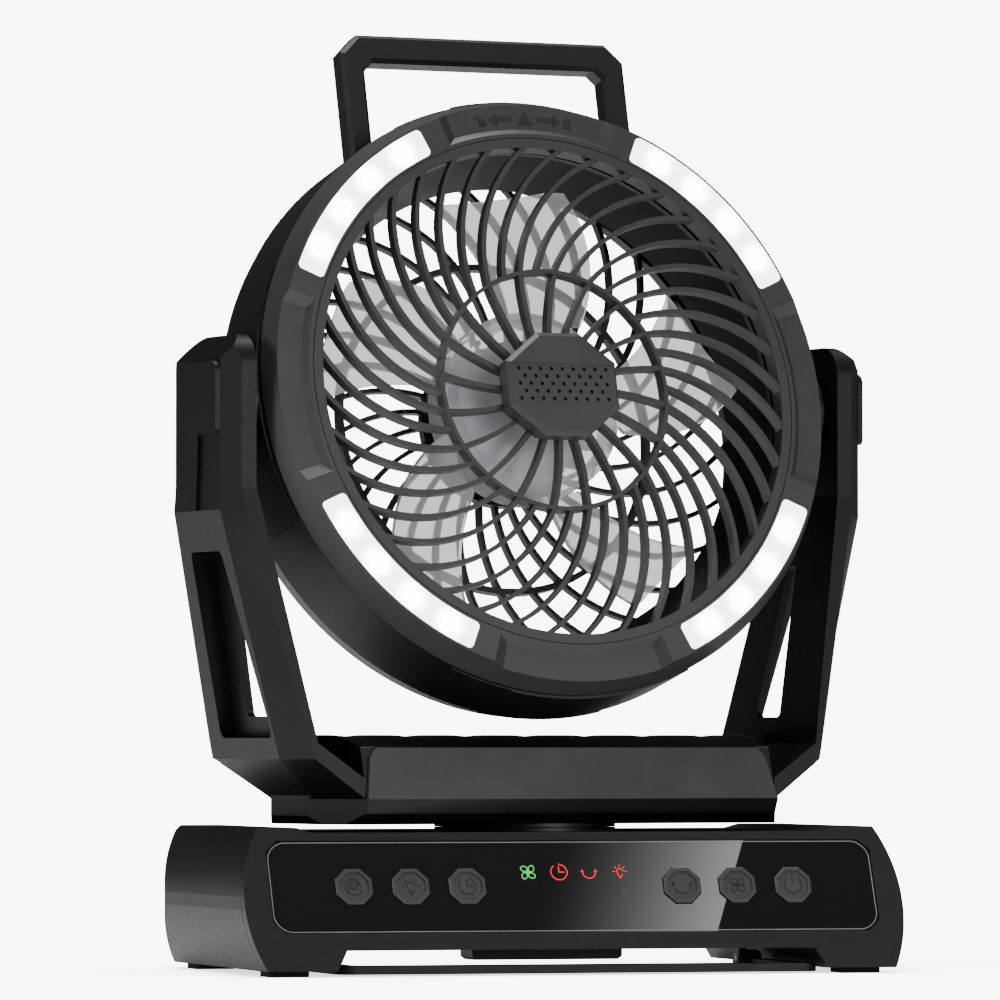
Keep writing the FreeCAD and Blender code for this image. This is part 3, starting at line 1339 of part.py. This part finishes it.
def make_head():
    screws = head_screw_set()
    pivot = make_pivot()
    keep("head_housing", on_head(make_housing().cut(screws)))
    keep("air_duct", on_head(make_duct()))
    keep("head_pivots", on_head(Part.makeCompound([pivot, mirrored(pivot)])))
    keep("carry_handle", on_head(make_handle()))
    keep("rear_grille", on_head(make_rear_grille(screws)))
    keep("head_screws", on_head(screws))
    keep("fan_motor", on_head(make_motor()))
    keep("lamp_bezel", on_head(make_bezel()))
    keep("lamp_boards", on_head(make_lamp_boards()))
    for k in range(4):
        keep("lamp_lens_%d" % (k + 1), on_head(spun(make_lens(), 90 * k)))
    keep("front_grille", on_head(make_grille()))
    keep("grille_cap", on_head(make_cap()))
    keep("fan_wheel", on_head(make_wheel()))
    keep("wheel_shaft", on_head(make_shaft()))


make_base()
make_yoke()
make_head()
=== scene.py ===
import math

import bmesh
import bpy
from mathutils import Matrix, Vector


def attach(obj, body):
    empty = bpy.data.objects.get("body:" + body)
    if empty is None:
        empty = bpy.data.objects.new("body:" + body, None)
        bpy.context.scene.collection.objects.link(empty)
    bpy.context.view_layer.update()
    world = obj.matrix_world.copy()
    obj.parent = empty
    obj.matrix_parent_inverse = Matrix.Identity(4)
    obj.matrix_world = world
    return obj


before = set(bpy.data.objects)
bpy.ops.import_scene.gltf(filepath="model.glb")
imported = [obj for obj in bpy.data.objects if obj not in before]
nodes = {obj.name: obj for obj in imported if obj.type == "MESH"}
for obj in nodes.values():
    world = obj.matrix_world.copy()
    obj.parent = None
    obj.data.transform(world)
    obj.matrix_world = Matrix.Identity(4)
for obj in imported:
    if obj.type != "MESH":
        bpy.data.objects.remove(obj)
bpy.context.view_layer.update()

MM = 0.001
WHITE = (1, 1, 1, 1)

# Places of the moving groups, as in the photograph. Lengths without MM are in millimetres.
YOKE_TURN = math.radians(9.38)
HEAD_TILT = math.radians(13.72)
TILT_AXIS = Vector((0, 8 * MM, 210.8 * MM))
LAMP_FACE = -28.0                # lamp face, forward of the tilt axis
PANEL_TOP = Vector((0, -49.9 * MM, 54 * MM))
PANEL_LEAN = math.radians(65.6)
PANEL_MIDDLE = -23.5             # line of the buttons, down the sloped front
PANEL_FACE = -0.5                # polished panel, out of the sloped front
BUTTON_FACE = 0.2                # bottom of the buttons' dish, out of the sloped front

# Signs of the buttons and the lit signs above them
PRINT_T = 0.16
STROKE = 0.42
SIGN_SIZE = 3.5
LIGHT_SIZE = 3.3
SMALL_LIGHT_SIZE = LIGHT_SIZE * 0.82
LIGHT_ROW = PANEL_MIDDLE + 5.7

# Bright line round the panel
RIM_HALF = 115.6
RIM_LOW = -41.4
RIM_HIGH = -5.6
RIM_CORNER = 4.3
RIM_ROUND = 2.4
RIM_W = 0.3
RIM_SUNK = 0.02

# Turning signs in the top pocket of the lamp ring
POCKET_FLOOR = 2.2
TURN_SIGN_LIFT = 0.02
TURN_SIGN_R = 106.7
TURN_SIGN_SCALE = 1.3
LOCK_AT = 9.6                    # degrees from the top, as the next one
ARROW_AT = 5.4

# Lamps
CHIP_RING = 105.0
CHIP_ANGLES = (-14.4, -4.8, 4.8, 14.4)
LAMP_GLOW = 14.0
GLOW_BETWEEN = 0.3               # share of the glow left away from the chips
GLOW_CORE = 2.2
GLOW_REACH = 8.0

# Scale and detail of the patterns in the materials
CLOUDS = (55.0, 4.0)
SCUFFS = (420.0, 5.0)
SMEARS = (60.0, 6.0)
STREAKS = (900.0, 2.0)
HAZE = (30.0, 3.0)
FLICKER = (900.0, 1.0)
GRAIN_DETAIL = 3.0
GRAIN_DEPTH = 0.00008

# Lowest and highest share of a colour or glow that a pattern gives
CLOUD_SHARES = (0.86, 1.12)
STREAK_SHARES = (0.8, 1.0)
HAZE_SHARES = (0.92, 1.05)
FLICKER_SHARES = (0.85, 1.15)

# Where on a 0 to 1 pattern a tint starts and ends
TINT_ENDS = (0.3, 0.7)

# Changes of roughness that a pattern gives
SCUFF_POLISH = 0.07
SCUFF_WEAR = 0.09
SMEAR_WEAR = 0.015
STREAK_WEAR = 0.15

# White studio
BACKDROP = 9.0                   # for the eye
THROUGH = 2.5                    # for what shows through the clear wheel
SKY_LOW = 0.03
SKY_HIGH = 0.45
SKY_START = 0.55                 # height where the sky brightens, 0 level and 1 overhead
FLOOR_SIZE = 60
FLOOR_GLOW = 0.25
LIGHT_AIM = Vector((0, 0, 0.18))

# Small sloped light for the panel
CARD_W = 0.095
CARD_H = 0.3
CARD_POWER = 0.42
CARD_FADE = 2.0
CARD_ALONG = Vector((0.9204, -0.0169, -0.3907))
CARD_OUT = Vector((0.2889, -0.6438, 0.7086))
CARD_END = Vector((0.386, -0.760, 0.801))

CAMERA_PLACE = (-0.8389, -2.9213, 0.0852)
CAMERA_PITCH = math.radians(91.72)
CAMERA_YAW = math.radians(-15.807)
CAMERA_LENS = 291.2
SENSOR_W = 36
CLIP_END = 200

PANEL = Matrix.Translation(PANEL_TOP) @ Matrix.Rotation(PANEL_LEAN, 4, "X")
HEAD = (
    Matrix.Translation(TILT_AXIS)
    @ Matrix.Rotation(YOKE_TURN, 4, "Z")
    @ Matrix.Rotation(-HEAD_TILT, 4, "X")
)


def on_panel(u, v, w):
    """Place of a flat drawing at u, v on the panel, w out of it, in millimetres."""
    return PANEL @ Matrix.Translation(Vector((u, v, w)) * MM)


def on_lamp_face(depth):
    """Place of a flat drawing on the front of the head, sunk by a depth."""
    forward = Matrix.Translation(Vector((0, LAMP_FACE + depth, 0)) * MM)
    return HEAD @ forward @ Matrix.Rotation(math.pi / 2, 4, "X")


# Materials


def new_material(name):
    material = bpy.data.materials.new(name)
    material.use_nodes = True
    return material, material.node_tree, material.node_tree.nodes["Principled BSDF"]


def noise(tree, scale, detail):
    """Pattern from 0 to 1 that reads the piece's own coordinates."""
    place = tree.nodes.new("ShaderNodeTexCoord")
    pattern = tree.nodes.new("ShaderNodeTexNoise")
    pattern.inputs["Scale"].default_value = scale
    pattern.inputs["Detail"].default_value = detail
    tree.links.new(place.outputs["Object"], pattern.inputs["Vector"])
    return pattern.outputs["Fac"]


def spread(tree, source, socket, low, high):
    """Feeds a socket from a 0 to 1 source, carried over to a range."""
    reach = tree.nodes.new("ShaderNodeMapRange")
    reach.inputs["To Min"].default_value = low
    reach.inputs["To Max"].default_value = high
    tree.links.new(source, reach.inputs["Value"])
    tree.links.new(reach.outputs["Result"], socket)
    return reach


def tint(tree, source, shader, shade, shares):
    """Base colour that a pattern carries from the lower to the higher share of a shade."""
    ramp = tree.nodes.new("ShaderNodeValToRGB")
    for element, position, share in zip(ramp.color_ramp.elements, TINT_ENDS, shares):
        element.position = position
        element.color = (*[share * c for c in shade], 1)
    tree.links.new(source, ramp.inputs["Fac"])
    tree.links.new(ramp.outputs["Color"], shader.inputs["Base Color"])


def grain(tree, shader, scale, strength):
    """Fine moulded grain."""
    bump = tree.nodes.new("ShaderNodeBump")
    bump.inputs["Strength"].default_value = strength
    bump.inputs["Distance"].default_value = GRAIN_DEPTH
    tree.links.new(noise(tree, scale, GRAIN_DETAIL), bump.inputs["Height"])
    tree.links.new(bump.outputs["Normal"], shader.inputs["Normal"])


def moulded_plastic(name, shade, rough, grain_scale=2600.0, grain_strength=0.25, specular=0.5):
    """Injection-moulded plastic: fine grain, slight cloudiness and uneven gloss."""
    material, tree, shader = new_material(name)
    tint(tree, noise(tree, *CLOUDS), shader, shade, CLOUD_SHARES)
    scuffs = noise(tree, *SCUFFS)
    spread(tree, scuffs, shader.inputs["Roughness"], rough - SCUFF_POLISH, rough + SCUFF_WEAR)
    grain(tree, shader, grain_scale, grain_strength)
    shader.inputs["Specular IOR Level"].default_value = specular
    return material


def gloss_plate(name, shade, rough):
    """Polished cover with faint fingerprints."""
    material, tree, shader = new_material(name)
    shader.inputs["Base Color"].default_value = (*shade, 1)
    smears = noise(tree, *SMEARS)
    spread(tree, smears, shader.inputs["Roughness"], rough, rough + SMEAR_WEAR)
    shader.inputs["Coat Weight"].default_value = 0.6
    shader.inputs["Coat Roughness"].default_value = 0.004
    return material


def turned_metal(name, shade, rough):
    """Bare metal with fine uneven streaks."""
    material, tree, shader = new_material(name)
    shader.inputs["Metallic"].default_value = 1.0
    streaks = noise(tree, *STREAKS)
    tint(tree, streaks, shader, shade, STREAK_SHARES)
    spread(tree, streaks, shader.inputs["Roughness"], rough, rough + STREAK_WEAR)
    return material


def clear_plastic(name, shade):
    """Milky see-through plastic of the fan wheel."""
    material, tree, shader = new_material(name)
    tint(tree, noise(tree, *HAZE), shader, shade, HAZE_SHARES)
    shader.inputs["Roughness"].default_value = 0.12
    shader.inputs["Transmission Weight"].default_value = 0.6
    shader.inputs["IOR"].default_value = 1.08
    return material


def nearest_gap(tree, spots):
    """Distance from the shaded point to the nearest of the spots."""
    place = tree.nodes.new("ShaderNodeTexCoord")
    nearest = None
    for spot in spots:
        gap = tree.nodes.new("ShaderNodeVectorMath")
        gap.operation = "DISTANCE"
        gap.inputs[1].default_value = spot
        tree.links.new(place.outputs["Object"], gap.inputs[0])
        if nearest is None:
            nearest = gap.outputs["Value"]
            continue
        least = tree.nodes.new("ShaderNodeMath")
        least.operation = "MINIMUM"
        tree.links.new(nearest, least.inputs[0])
        tree.links.new(gap.outputs["Value"], least.inputs[1])
        nearest = least.outputs["Value"]
    return nearest


def lamp_diffuser(name, spots):
    """Frosted lens whose glow is strongest in front of each light chip."""
    material, tree, shader = new_material(name)
    strength = shader.inputs["Emission Strength"]
    glow = spread(tree, nearest_gap(tree, spots), strength, LAMP_GLOW, LAMP_GLOW * GLOW_BETWEEN)
    glow.interpolation_type = "SMOOTHSTEP"
    glow.inputs["From Min"].default_value = GLOW_CORE * MM
    glow.inputs["From Max"].default_value = GLOW_REACH * MM
    shader.inputs["Emission Color"].default_value = (0.97, 0.99, 1.0, 1)
    shader.inputs["Base Color"].default_value = (0.9, 0.91, 0.92, 1)
    shader.inputs["Roughness"].default_value = 0.45
    return material


def glowing(name, shade, strength):
    """Lit sign whose glow is slightly uneven."""
    material, tree, shader = new_material(name)
    shader.inputs["Base Color"].default_value = (*shade, 1)
    shader.inputs["Emission Color"].default_value = (*shade, 1)
    low, high = [share * strength for share in FLICKER_SHARES]
    spread(tree, noise(tree, *FLICKER), shader.inputs["Emission Strength"], low, high)
    return material


housing_black = moulded_plastic("housing_black", (0.0055, 0.0059, 0.0065), 0.42, specular=0.36)
side_black = moulded_plastic("side_black", (0.0026, 0.0028, 0.0031), 0.44, specular=0.22)
plate_grey = moulded_plastic("plate_grey", (0.036, 0.0365, 0.037), 0.40)
guard_grey = moulded_plastic("guard_grey", (0.024, 0.025, 0.0262), 0.40)
button_grey = moulded_plastic("button_grey", (0.032, 0.0325, 0.034), 0.42, 1800.0, 0.4)
# Button signs: a real raised relief, coloured darker than the buttons' grey as painted shade in
# place of the shading on that relief
icon_relief_painted_shade = moulded_plastic("icon_relief_painted_shade", (0.0050, 0.0052, 0.0056), 0.5)
symbol_dark = moulded_plastic("symbol_dark", (0.0022, 0.0022, 0.0024), 0.6)
panel_gloss = gloss_plate("panel_gloss", (0.0012, 0.0012, 0.0014), 0.0)
panel_line = moulded_plastic("panel_line", (0.22, 0.22, 0.23), 0.25)
sensor_smoke = gloss_plate("sensor_smoke", (0.012, 0.009, 0.010), 0.15)
rubber = moulded_plastic("rubber", (0.010, 0.010, 0.010), 0.8, 1500.0, 0.5, 0.25)
board_green = moulded_plastic("board_green", (0.02, 0.12, 0.05), 0.5)
cell_wrap = moulded_plastic("cell_wrap", (0.03, 0.10, 0.28), 0.35)
port_metal = turned_metal("port_metal", (0.55, 0.55, 0.57), 0.28)
screw_steel = turned_metal("screw_steel", (0.42, 0.42, 0.44), 0.35)
motor_can = turned_metal("motor_can", (0.34, 0.34, 0.35), 0.4)
wheel_milk = clear_plastic("wheel_milk", (0.84, 0.85, 0.87))
light_green = glowing("light_green", (0.04, 0.62, 0.08), 0.75)
light_red = glowing("light_red", (0.80, 0.010, 0.018), 0.62)

finishes = {
    housing_black: [
        "base_shell", "base_bottom_cover", "yoke_pan", "yoke_crossbar", "head_housing",
        "carry_handle", "base_fascia", "turntable_spindle", "turntable_ring",
        "rear_port_panel", "rear_grille", "air_duct",
    ],
    side_black: [
        "yoke_arm_left", "yoke_arm_right", "arm_cover_left", "arm_cover_right", "hanging_bail",
    ],
    plate_grey: ["yoke_front_plate"],
    guard_grey: ["lamp_bezel", "front_grille", "grille_cap"],
    button_grey: [
        "button_mode", "button_lamp", "button_timer", "button_swing", "button_fan", "button_power",
    ],
    panel_gloss: ["control_panel"],
    sensor_smoke: ["ir_window"],
    rubber: ["rubber_feet", "pivot_washers"],
    board_green: ["control_board", "lamp_boards"],
    cell_wrap: ["battery_cells"],
    port_metal: ["usb_a_port", "usb_c_port"],
    screw_steel: [
        "base_screws", "head_screws", "yoke_screws", "bail_pins", "wheel_shaft", "head_pivots",
    ],
    motor_can: ["fan_motor", "oscillation_motor"],
    wheel_milk: ["fan_wheel"],
}


def give(piece, material):
    piece.data.materials.clear()
    piece.data.materials.append(material)


for material, names in finishes.items():
    for name in names:
        give(nodes[name], material)


# Flat drawings


def fresh(name):
    """The piece just made, under its name."""
    piece = bpy.context.object
    piece.name = name
    return piece


def deselect():
    bpy.ops.object.select_all(action="DESELECT")


def thicken():
    """In edit mode, draws all flat faces out to the thickness of a print."""
    bpy.ops.mesh.select_all(action="SELECT")
    bpy.ops.mesh.extrude_region_move(TRANSFORM_OT_translate={"value": (0, 0, PRINT_T)})
    bpy.ops.mesh.select_all(action="SELECT")
    bpy.ops.mesh.normals_make_consistent(inside=False)


def flat_ring(u, v, radius, width, start=0, end=360, squeeze=1.0, turn=0.0):
    """Ring or arc, thinned to an oval by a squeeze and then turned."""
    deselect()
    bpy.ops.mesh.primitive_circle_add(vertices=60, radius=radius, fill_type="NGON")
    piece = bpy.context.object
    bpy.ops.object.mode_set(mode="EDIT")
    bpy.ops.mesh.select_all(action="SELECT")
    bpy.ops.mesh.inset(thickness=width)
    bpy.ops.mesh.delete(type="FACE")
    shape = bmesh.from_edit_mesh(piece.data)
    for face in shape.faces:
        middle = face.calc_center_median()
        angle = math.degrees(math.atan2(middle.y, middle.x)) % 360
        face.select_set(not (start <= angle <= end or start <= angle + 360 <= end))
    bmesh.update_edit_mesh(piece.data)
    if any(face.select for face in shape.faces):
        bpy.ops.mesh.delete(type="FACE")
    thicken()
    bpy.ops.transform.resize(value=(1, squeeze, 1), center_override=(0, 0, 0))
    bpy.ops.object.mode_set(mode="OBJECT")
    piece.data.transform(Matrix.Translation((u, v, 0)) @ Matrix.Rotation(math.radians(turn), 4, "Z"))
    return piece


def flat_face(corners):
    """Thin flat face through the corners, left in edit mode."""
    deselect()
    bpy.ops.mesh.primitive_circle_add(vertices=len(corners), radius=1, fill_type="NGON")
    piece = bpy.context.object
    for vertex, (u, v) in zip(piece.data.vertices, corners):
        vertex.co = (u, v, 0)
    bpy.ops.object.mode_set(mode="EDIT")
    return piece


def flat_shape(corners):
    """Filled outline through the corners."""
    piece = flat_face(corners)
    thicken()
    bpy.ops.object.mode_set(mode="OBJECT")
    return piece


def flat_bar(a, b, width):
    """Straight stroke from a to b."""
    run = (Vector(b) - Vector(a)).normalized() * width / 2
    side = Vector((-run.y, run.x))
    corners = [Vector(a) - side, Vector(b) - side, Vector(b) + side, Vector(a) + side]
    return flat_shape(corners)


def joined(name, pieces, place, material, body):
    """One piece from several drawings, put in its place and given to a body."""
    deselect()
    for piece in pieces:
        piece.select_set(True)
    bpy.context.view_layer.objects.active = pieces[0]
    bpy.ops.object.join()
    piece = fresh(name)
    piece.data.transform(place @ Matrix.Scale(MM, 4))
    give(piece, material)
    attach(piece, body)
    return piece


def fan_sign(size, width):
    """Four petal loops about a middle."""
    petals = []
    for k in range(4):
        angle = math.radians(45 + 90 * k)
        u = 0.58 * size * math.cos(angle)
        v = 0.58 * size * math.sin(angle)
        petals.append(flat_ring(u, v, 0.46 * size, width, squeeze=0.78, turn=45 + 90 * k + 28))
    petals.append(flat_bar((-0.22 * size, 0.1 * size), (0.22 * size, -0.1 * size), width))
    petals.append(flat_bar((-0.1 * size, -0.22 * size), (0.1 * size, 0.22 * size), width))
    return petals


def clock_sign(size, width):
    """Open circle with two hands."""
    return [
        flat_ring(0, 0, size, width, start=125, end=450),
        flat_bar((0, -width / 2), (0, 0.72 * size), width),
        flat_bar((0, 0), (0.62 * size, 0), width),
    ]


def swing_sign(size, width):
    """Open arc with an arrow head at each end."""
    parts = [flat_ring(0, 0, size, width, start=170, end=370)]
    for side in (-1, 1):
        u = side * (size - width / 2)
        wing = 1.6 * width
        tip = (u + side * 0.4 * width, 0.42 * size)
        parts.append(flat_shape([(u - wing, 0.02 * size), (u + wing, 0.02 * size), tip]))
    return parts


def bulb_sign(size, width):
    """Bulb with its cap and five rays."""
    parts = [
        flat_ring(0, 0.05 * size, 0.52 * size, width, start=-50, end=230),
        flat_bar((-0.33 * size, -0.33 * size), (-0.14 * size, -0.75 * size), width),
        flat_bar((0.33 * size, -0.33 * size), (0.14 * size, -0.75 * size), width),
        flat_shape([(-0.2 * size, -0.7 * size), (0.2 * size, -0.7 * size), (0.0, -1.05 * size)]),
    ]
    for angle in (0, 45, 90, 135, 180):
        a = math.radians(angle)
        near = (0.72 * size * math.cos(a), 0.05 * size + 0.72 * size * math.sin(a))
        far = (1.02 * size * math.cos(a), 0.05 * size + 1.02 * size * math.sin(a))
        parts.append(flat_bar(near, far, width))
    return parts


def swirl_sign(size, width):
    """Three nested arcs that wind about a middle, and a stroke."""
    return [
        flat_ring(0, 0, size, width, start=60, end=330),
        flat_ring(0.06 * size, 0.02 * size, 0.7 * size, width, start=-60, end=210),
        flat_ring(0, 0, 0.38 * size, width, start=100, end=400),
        flat_bar((0.1 * size, 0.1 * size), (0.55 * size, 0.5 * size), width),
    ]


def power_sign(size, width):
    """Circle open at the top with an upright stroke."""
    return [
        flat_ring(0, 0, size, width, start=125, end=415),
        flat_bar((0, 0.15 * size), (0, 1.1 * size), width),
    ]


button_signs = [
    ("mode", -84.2, swirl_sign),
    ("lamp", -62.7, bulb_sign),
    ("timer", -41.2, clock_sign),
    ("swing", 41.2, swing_sign),
    ("fan", 62.7, fan_sign),
    ("power", 84.2, power_sign),
]
for name, u, sign in button_signs:
    place = on_panel(u, PANEL_MIDDLE, BUTTON_FACE)
    # each button's sign gets the darker painted-shade material, not a colour of its own
    joined("sign_" + name, sign(SIGN_SIZE, STROKE), place, icon_relief_painted_shade, "button_" + name)

lights = [
    ("fan", -17.3, fan_sign, LIGHT_SIZE, light_green),
    ("timer", -5.4, clock_sign, LIGHT_SIZE, light_red),
    ("swing", 6.1, swing_sign, SMALL_LIGHT_SIZE, light_red),
    ("lamp", 18.0, bulb_sign, SMALL_LIGHT_SIZE, light_red),
]
for name, u, sign, size, material in lights:
    place = on_panel(u, LIGHT_ROW, PANEL_FACE)
    joined("light_" + name, sign(size, STROKE), place, material, "base")


def panel_rim():
    """Thin bright line round the panel, from its outline drawn in by an inset."""
    side = RIM_HALF - RIM_CORNER
    low = RIM_LOW + RIM_CORNER
    high = RIM_HIGH - RIM_CORNER
    piece = flat_face([
        (-side, RIM_LOW), (side, RIM_LOW), (RIM_HALF, low), (RIM_HALF, high),
        (side, RIM_HIGH), (-side, RIM_HIGH), (-RIM_HALF, high), (-RIM_HALF, low),
    ])
    bpy.ops.mesh.select_all(action="SELECT")
    bpy.ops.mesh.bevel(offset=RIM_ROUND, segments=4, affect="VERTICES")
    bpy.ops.mesh.select_all(action="SELECT")
    bpy.ops.mesh.inset(thickness=RIM_W)
    bpy.ops.mesh.delete(type="FACE")
    thicken()
    bpy.ops.object.mode_set(mode="OBJECT")
    return piece


joined("panel_rim", [panel_rim()], on_panel(0, 0, PANEL_FACE - RIM_SUNK), panel_line, "base")


# Turning signs


def round_the_ring(pieces, angle):
    """Moves drawings made upright at the middle to the sign row, at an angle from the top."""
    larger = Matrix.Diagonal((TURN_SIGN_SCALE, TURN_SIGN_SCALE, 1, 1))
    spot = Matrix.Translation((0, TURN_SIGN_R, 0)) @ larger
    turn = Matrix.Rotation(math.radians(-angle), 4, "Z") @ spot
    for piece in pieces:
        piece.data.transform(turn)
    return pieces


def padlock(shift):
    """Padlock whose shackle is moved aside by a shift."""
    return [
        flat_shape([(-1.25, -1.6), (1.25, -1.6), (1.25, 0.5), (-1.25, 0.5)]),
        flat_ring(shift, 0.7, 0.95, 0.35, start=0, end=180),
        flat_bar((shift - 0.78, 0.4), (shift - 0.78, 0.8), 0.35),
    ]


def arrow(side):
    """Arrow that points left at side -1 and right at side 1."""
    left, right = sorted((-3.6 * side, 1.4 * side))
    return [
        flat_shape([(left, -0.75), (right, -0.75), (right, 0.75), (left, 0.75)]),
        flat_shape([(side * 1.2, -1.9), (side * 4.0, 0), (side * 1.2, 1.9)][::side]),
    ]


turning_signs = (
    round_the_ring(padlock(-1.3), -LOCK_AT)
    + round_the_ring(arrow(-1), -ARROW_AT)
    + round_the_ring([flat_shape([(-2.6, -1.9), (2.6, -1.9), (0, 2.3)])], 0)
    + round_the_ring(arrow(1), ARROW_AT)
    + round_the_ring(padlock(0.0), LOCK_AT)
)
pocket = on_lamp_face(POCKET_FLOOR - TURN_SIGN_LIFT)
joined("turning_signs", turning_signs, pocket, symbol_dark, "head")


# Lamps


def chip_places(strip):
    """World places of the four light chips of a strip, on the lens."""
    middle = 45 + 90 * strip
    angles = [math.radians(middle + step) for step in CHIP_ANGLES]
    flat = [Vector((CHIP_RING * math.cos(a), CHIP_RING * math.sin(a), 0)) * MM for a in angles]
    return [on_lamp_face(0) @ point for point in flat]


for strip in range(4):
    lens = nodes["lamp_lens_%d" % (strip + 1)]
    give(lens, lamp_diffuser("lamp_diffuser_%d" % (strip + 1), chip_places(strip)))


# Floor, light and camera

deselect()
bpy.ops.mesh.primitive_plane_add(size=FLOOR_SIZE, location=(0, 0, 0))
floor = fresh("floor")
floor_paint, tree, shader = new_material("floor_paint")
shader.inputs["Base Color"].default_value = (0.92, 0.92, 0.92, 1)
shader.inputs["Roughness"].default_value = 0.9
shader.inputs["Specular IOR Level"].default_value = 0.1
shader.inputs["Emission Color"].default_value = WHITE
shader.inputs["Emission Strength"].default_value = FLOOR_GLOW
give(floor, floor_paint)
floor.is_shadow_catcher = True


def lighting_sky(tree):
    """Background that lights the object from above and little from the sides."""
    lit = tree.nodes.new("ShaderNodeBackground")
    lit.inputs["Color"].default_value = WHITE
    way = tree.nodes.new("ShaderNodeTexCoord")
    split = tree.nodes.new("ShaderNodeSeparateXYZ")
    tree.links.new(way.outputs["Generated"], split.inputs["Vector"])
    rise = spread(tree, split.outputs["Z"], lit.inputs["Strength"], SKY_LOW, SKY_HIGH)
    rise.inputs["From Min"].default_value = SKY_START
    return lit.outputs["Background"]


def visible_sky(tree, ray):
    """White background, less bright where it shows through the clear wheel."""
    seen = tree.nodes["Background"]
    seen.inputs["Color"].default_value = WHITE
    spread(tree, ray.outputs["Is Camera Ray"], seen.inputs["Strength"], THROUGH, BACKDROP)
    return seen.outputs["Background"]


def studio_sky():
    """One sky for the eye and for what shows through the wheel, another for all other light."""
    world = bpy.data.worlds.new("studio")
    bpy.context.scene.world = world
    world.use_nodes = True
    tree = world.node_tree
    ray = tree.nodes.new("ShaderNodeLightPath")
    direct = tree.nodes.new("ShaderNodeMath")
    direct.operation = "MAXIMUM"
    tree.links.new(ray.outputs["Is Camera Ray"], direct.inputs[0])
    tree.links.new(ray.outputs["Is Transmission Ray"], direct.inputs[1])
    choice = tree.nodes.new("ShaderNodeMixShader")
    tree.links.new(direct.outputs["Value"], choice.inputs["Fac"])
    tree.links.new(lighting_sky(tree), choice.inputs[1])
    tree.links.new(visible_sky(tree, ray), choice.inputs[2])
    tree.links.new(choice.outputs["Shader"], tree.nodes["World Output"].inputs["Surface"])


def soft_light(name, size, power, place):
    """Oblong light that faces the object."""
    deselect()
    bpy.ops.object.light_add(type="AREA", location=place)
    lamp = fresh(name)
    lamp.data.shape = "RECTANGLE"
    lamp.data.size, lamp.data.size_y = size
    lamp.data.energy = power
    lamp.rotation_euler = (LIGHT_AIM - Vector(place)).to_track_quat("-Z", "Y").to_euler()
    return lamp


def panel_card():
    """Small sloped light mirrored in the polished panel, fading towards the left."""
    card = soft_light("panel_card", (CARD_W, CARD_H), CARD_POWER, (0, 0, 1))
    up = CARD_OUT.cross(CARD_ALONG)
    turn = Matrix((CARD_ALONG, up, CARD_OUT)).transposed().to_4x4()
    card.matrix_world = Matrix.Translation(CARD_END - CARD_ALONG * CARD_W / 2) @ turn
    card.data.use_nodes = True
    tree = card.data.node_tree
    where = tree.nodes.new("ShaderNodeNewGeometry")
    split = tree.nodes.new("ShaderNodeSeparateXYZ")
    tree.links.new(where.outputs["Parametric"], split.inputs["Vector"])
    fade = tree.nodes.new("ShaderNodeMath")
    fade.operation = "POWER"
    fade.inputs[1].default_value = CARD_FADE
    tree.links.new(split.outputs["X"], fade.inputs[0])
    tree.links.new(fade.outputs["Value"], tree.nodes["Emission"].inputs["Strength"])


studio_sky()
soft_light("key_light", (0.9, 0.9), 26, (0.9, -2.2, 0.55))
soft_light("top_light", (1.6, 1.2), 45, (-0.1, 0.1, 2.0))
soft_light("side_light", (0.7, 0.9), 19, (-2.2, -0.5, 0.6))
panel_card()

deselect()
bpy.ops.object.camera_add(location=CAMERA_PLACE, rotation=(CAMERA_PITCH, 0, CAMERA_YAW))
camera = fresh("photo_camera")
camera.data.lens = CAMERA_LENS
camera.data.sensor_width = SENSOR_W
camera.data.clip_end = CLIP_END
bpy.context.scene.camera = camera
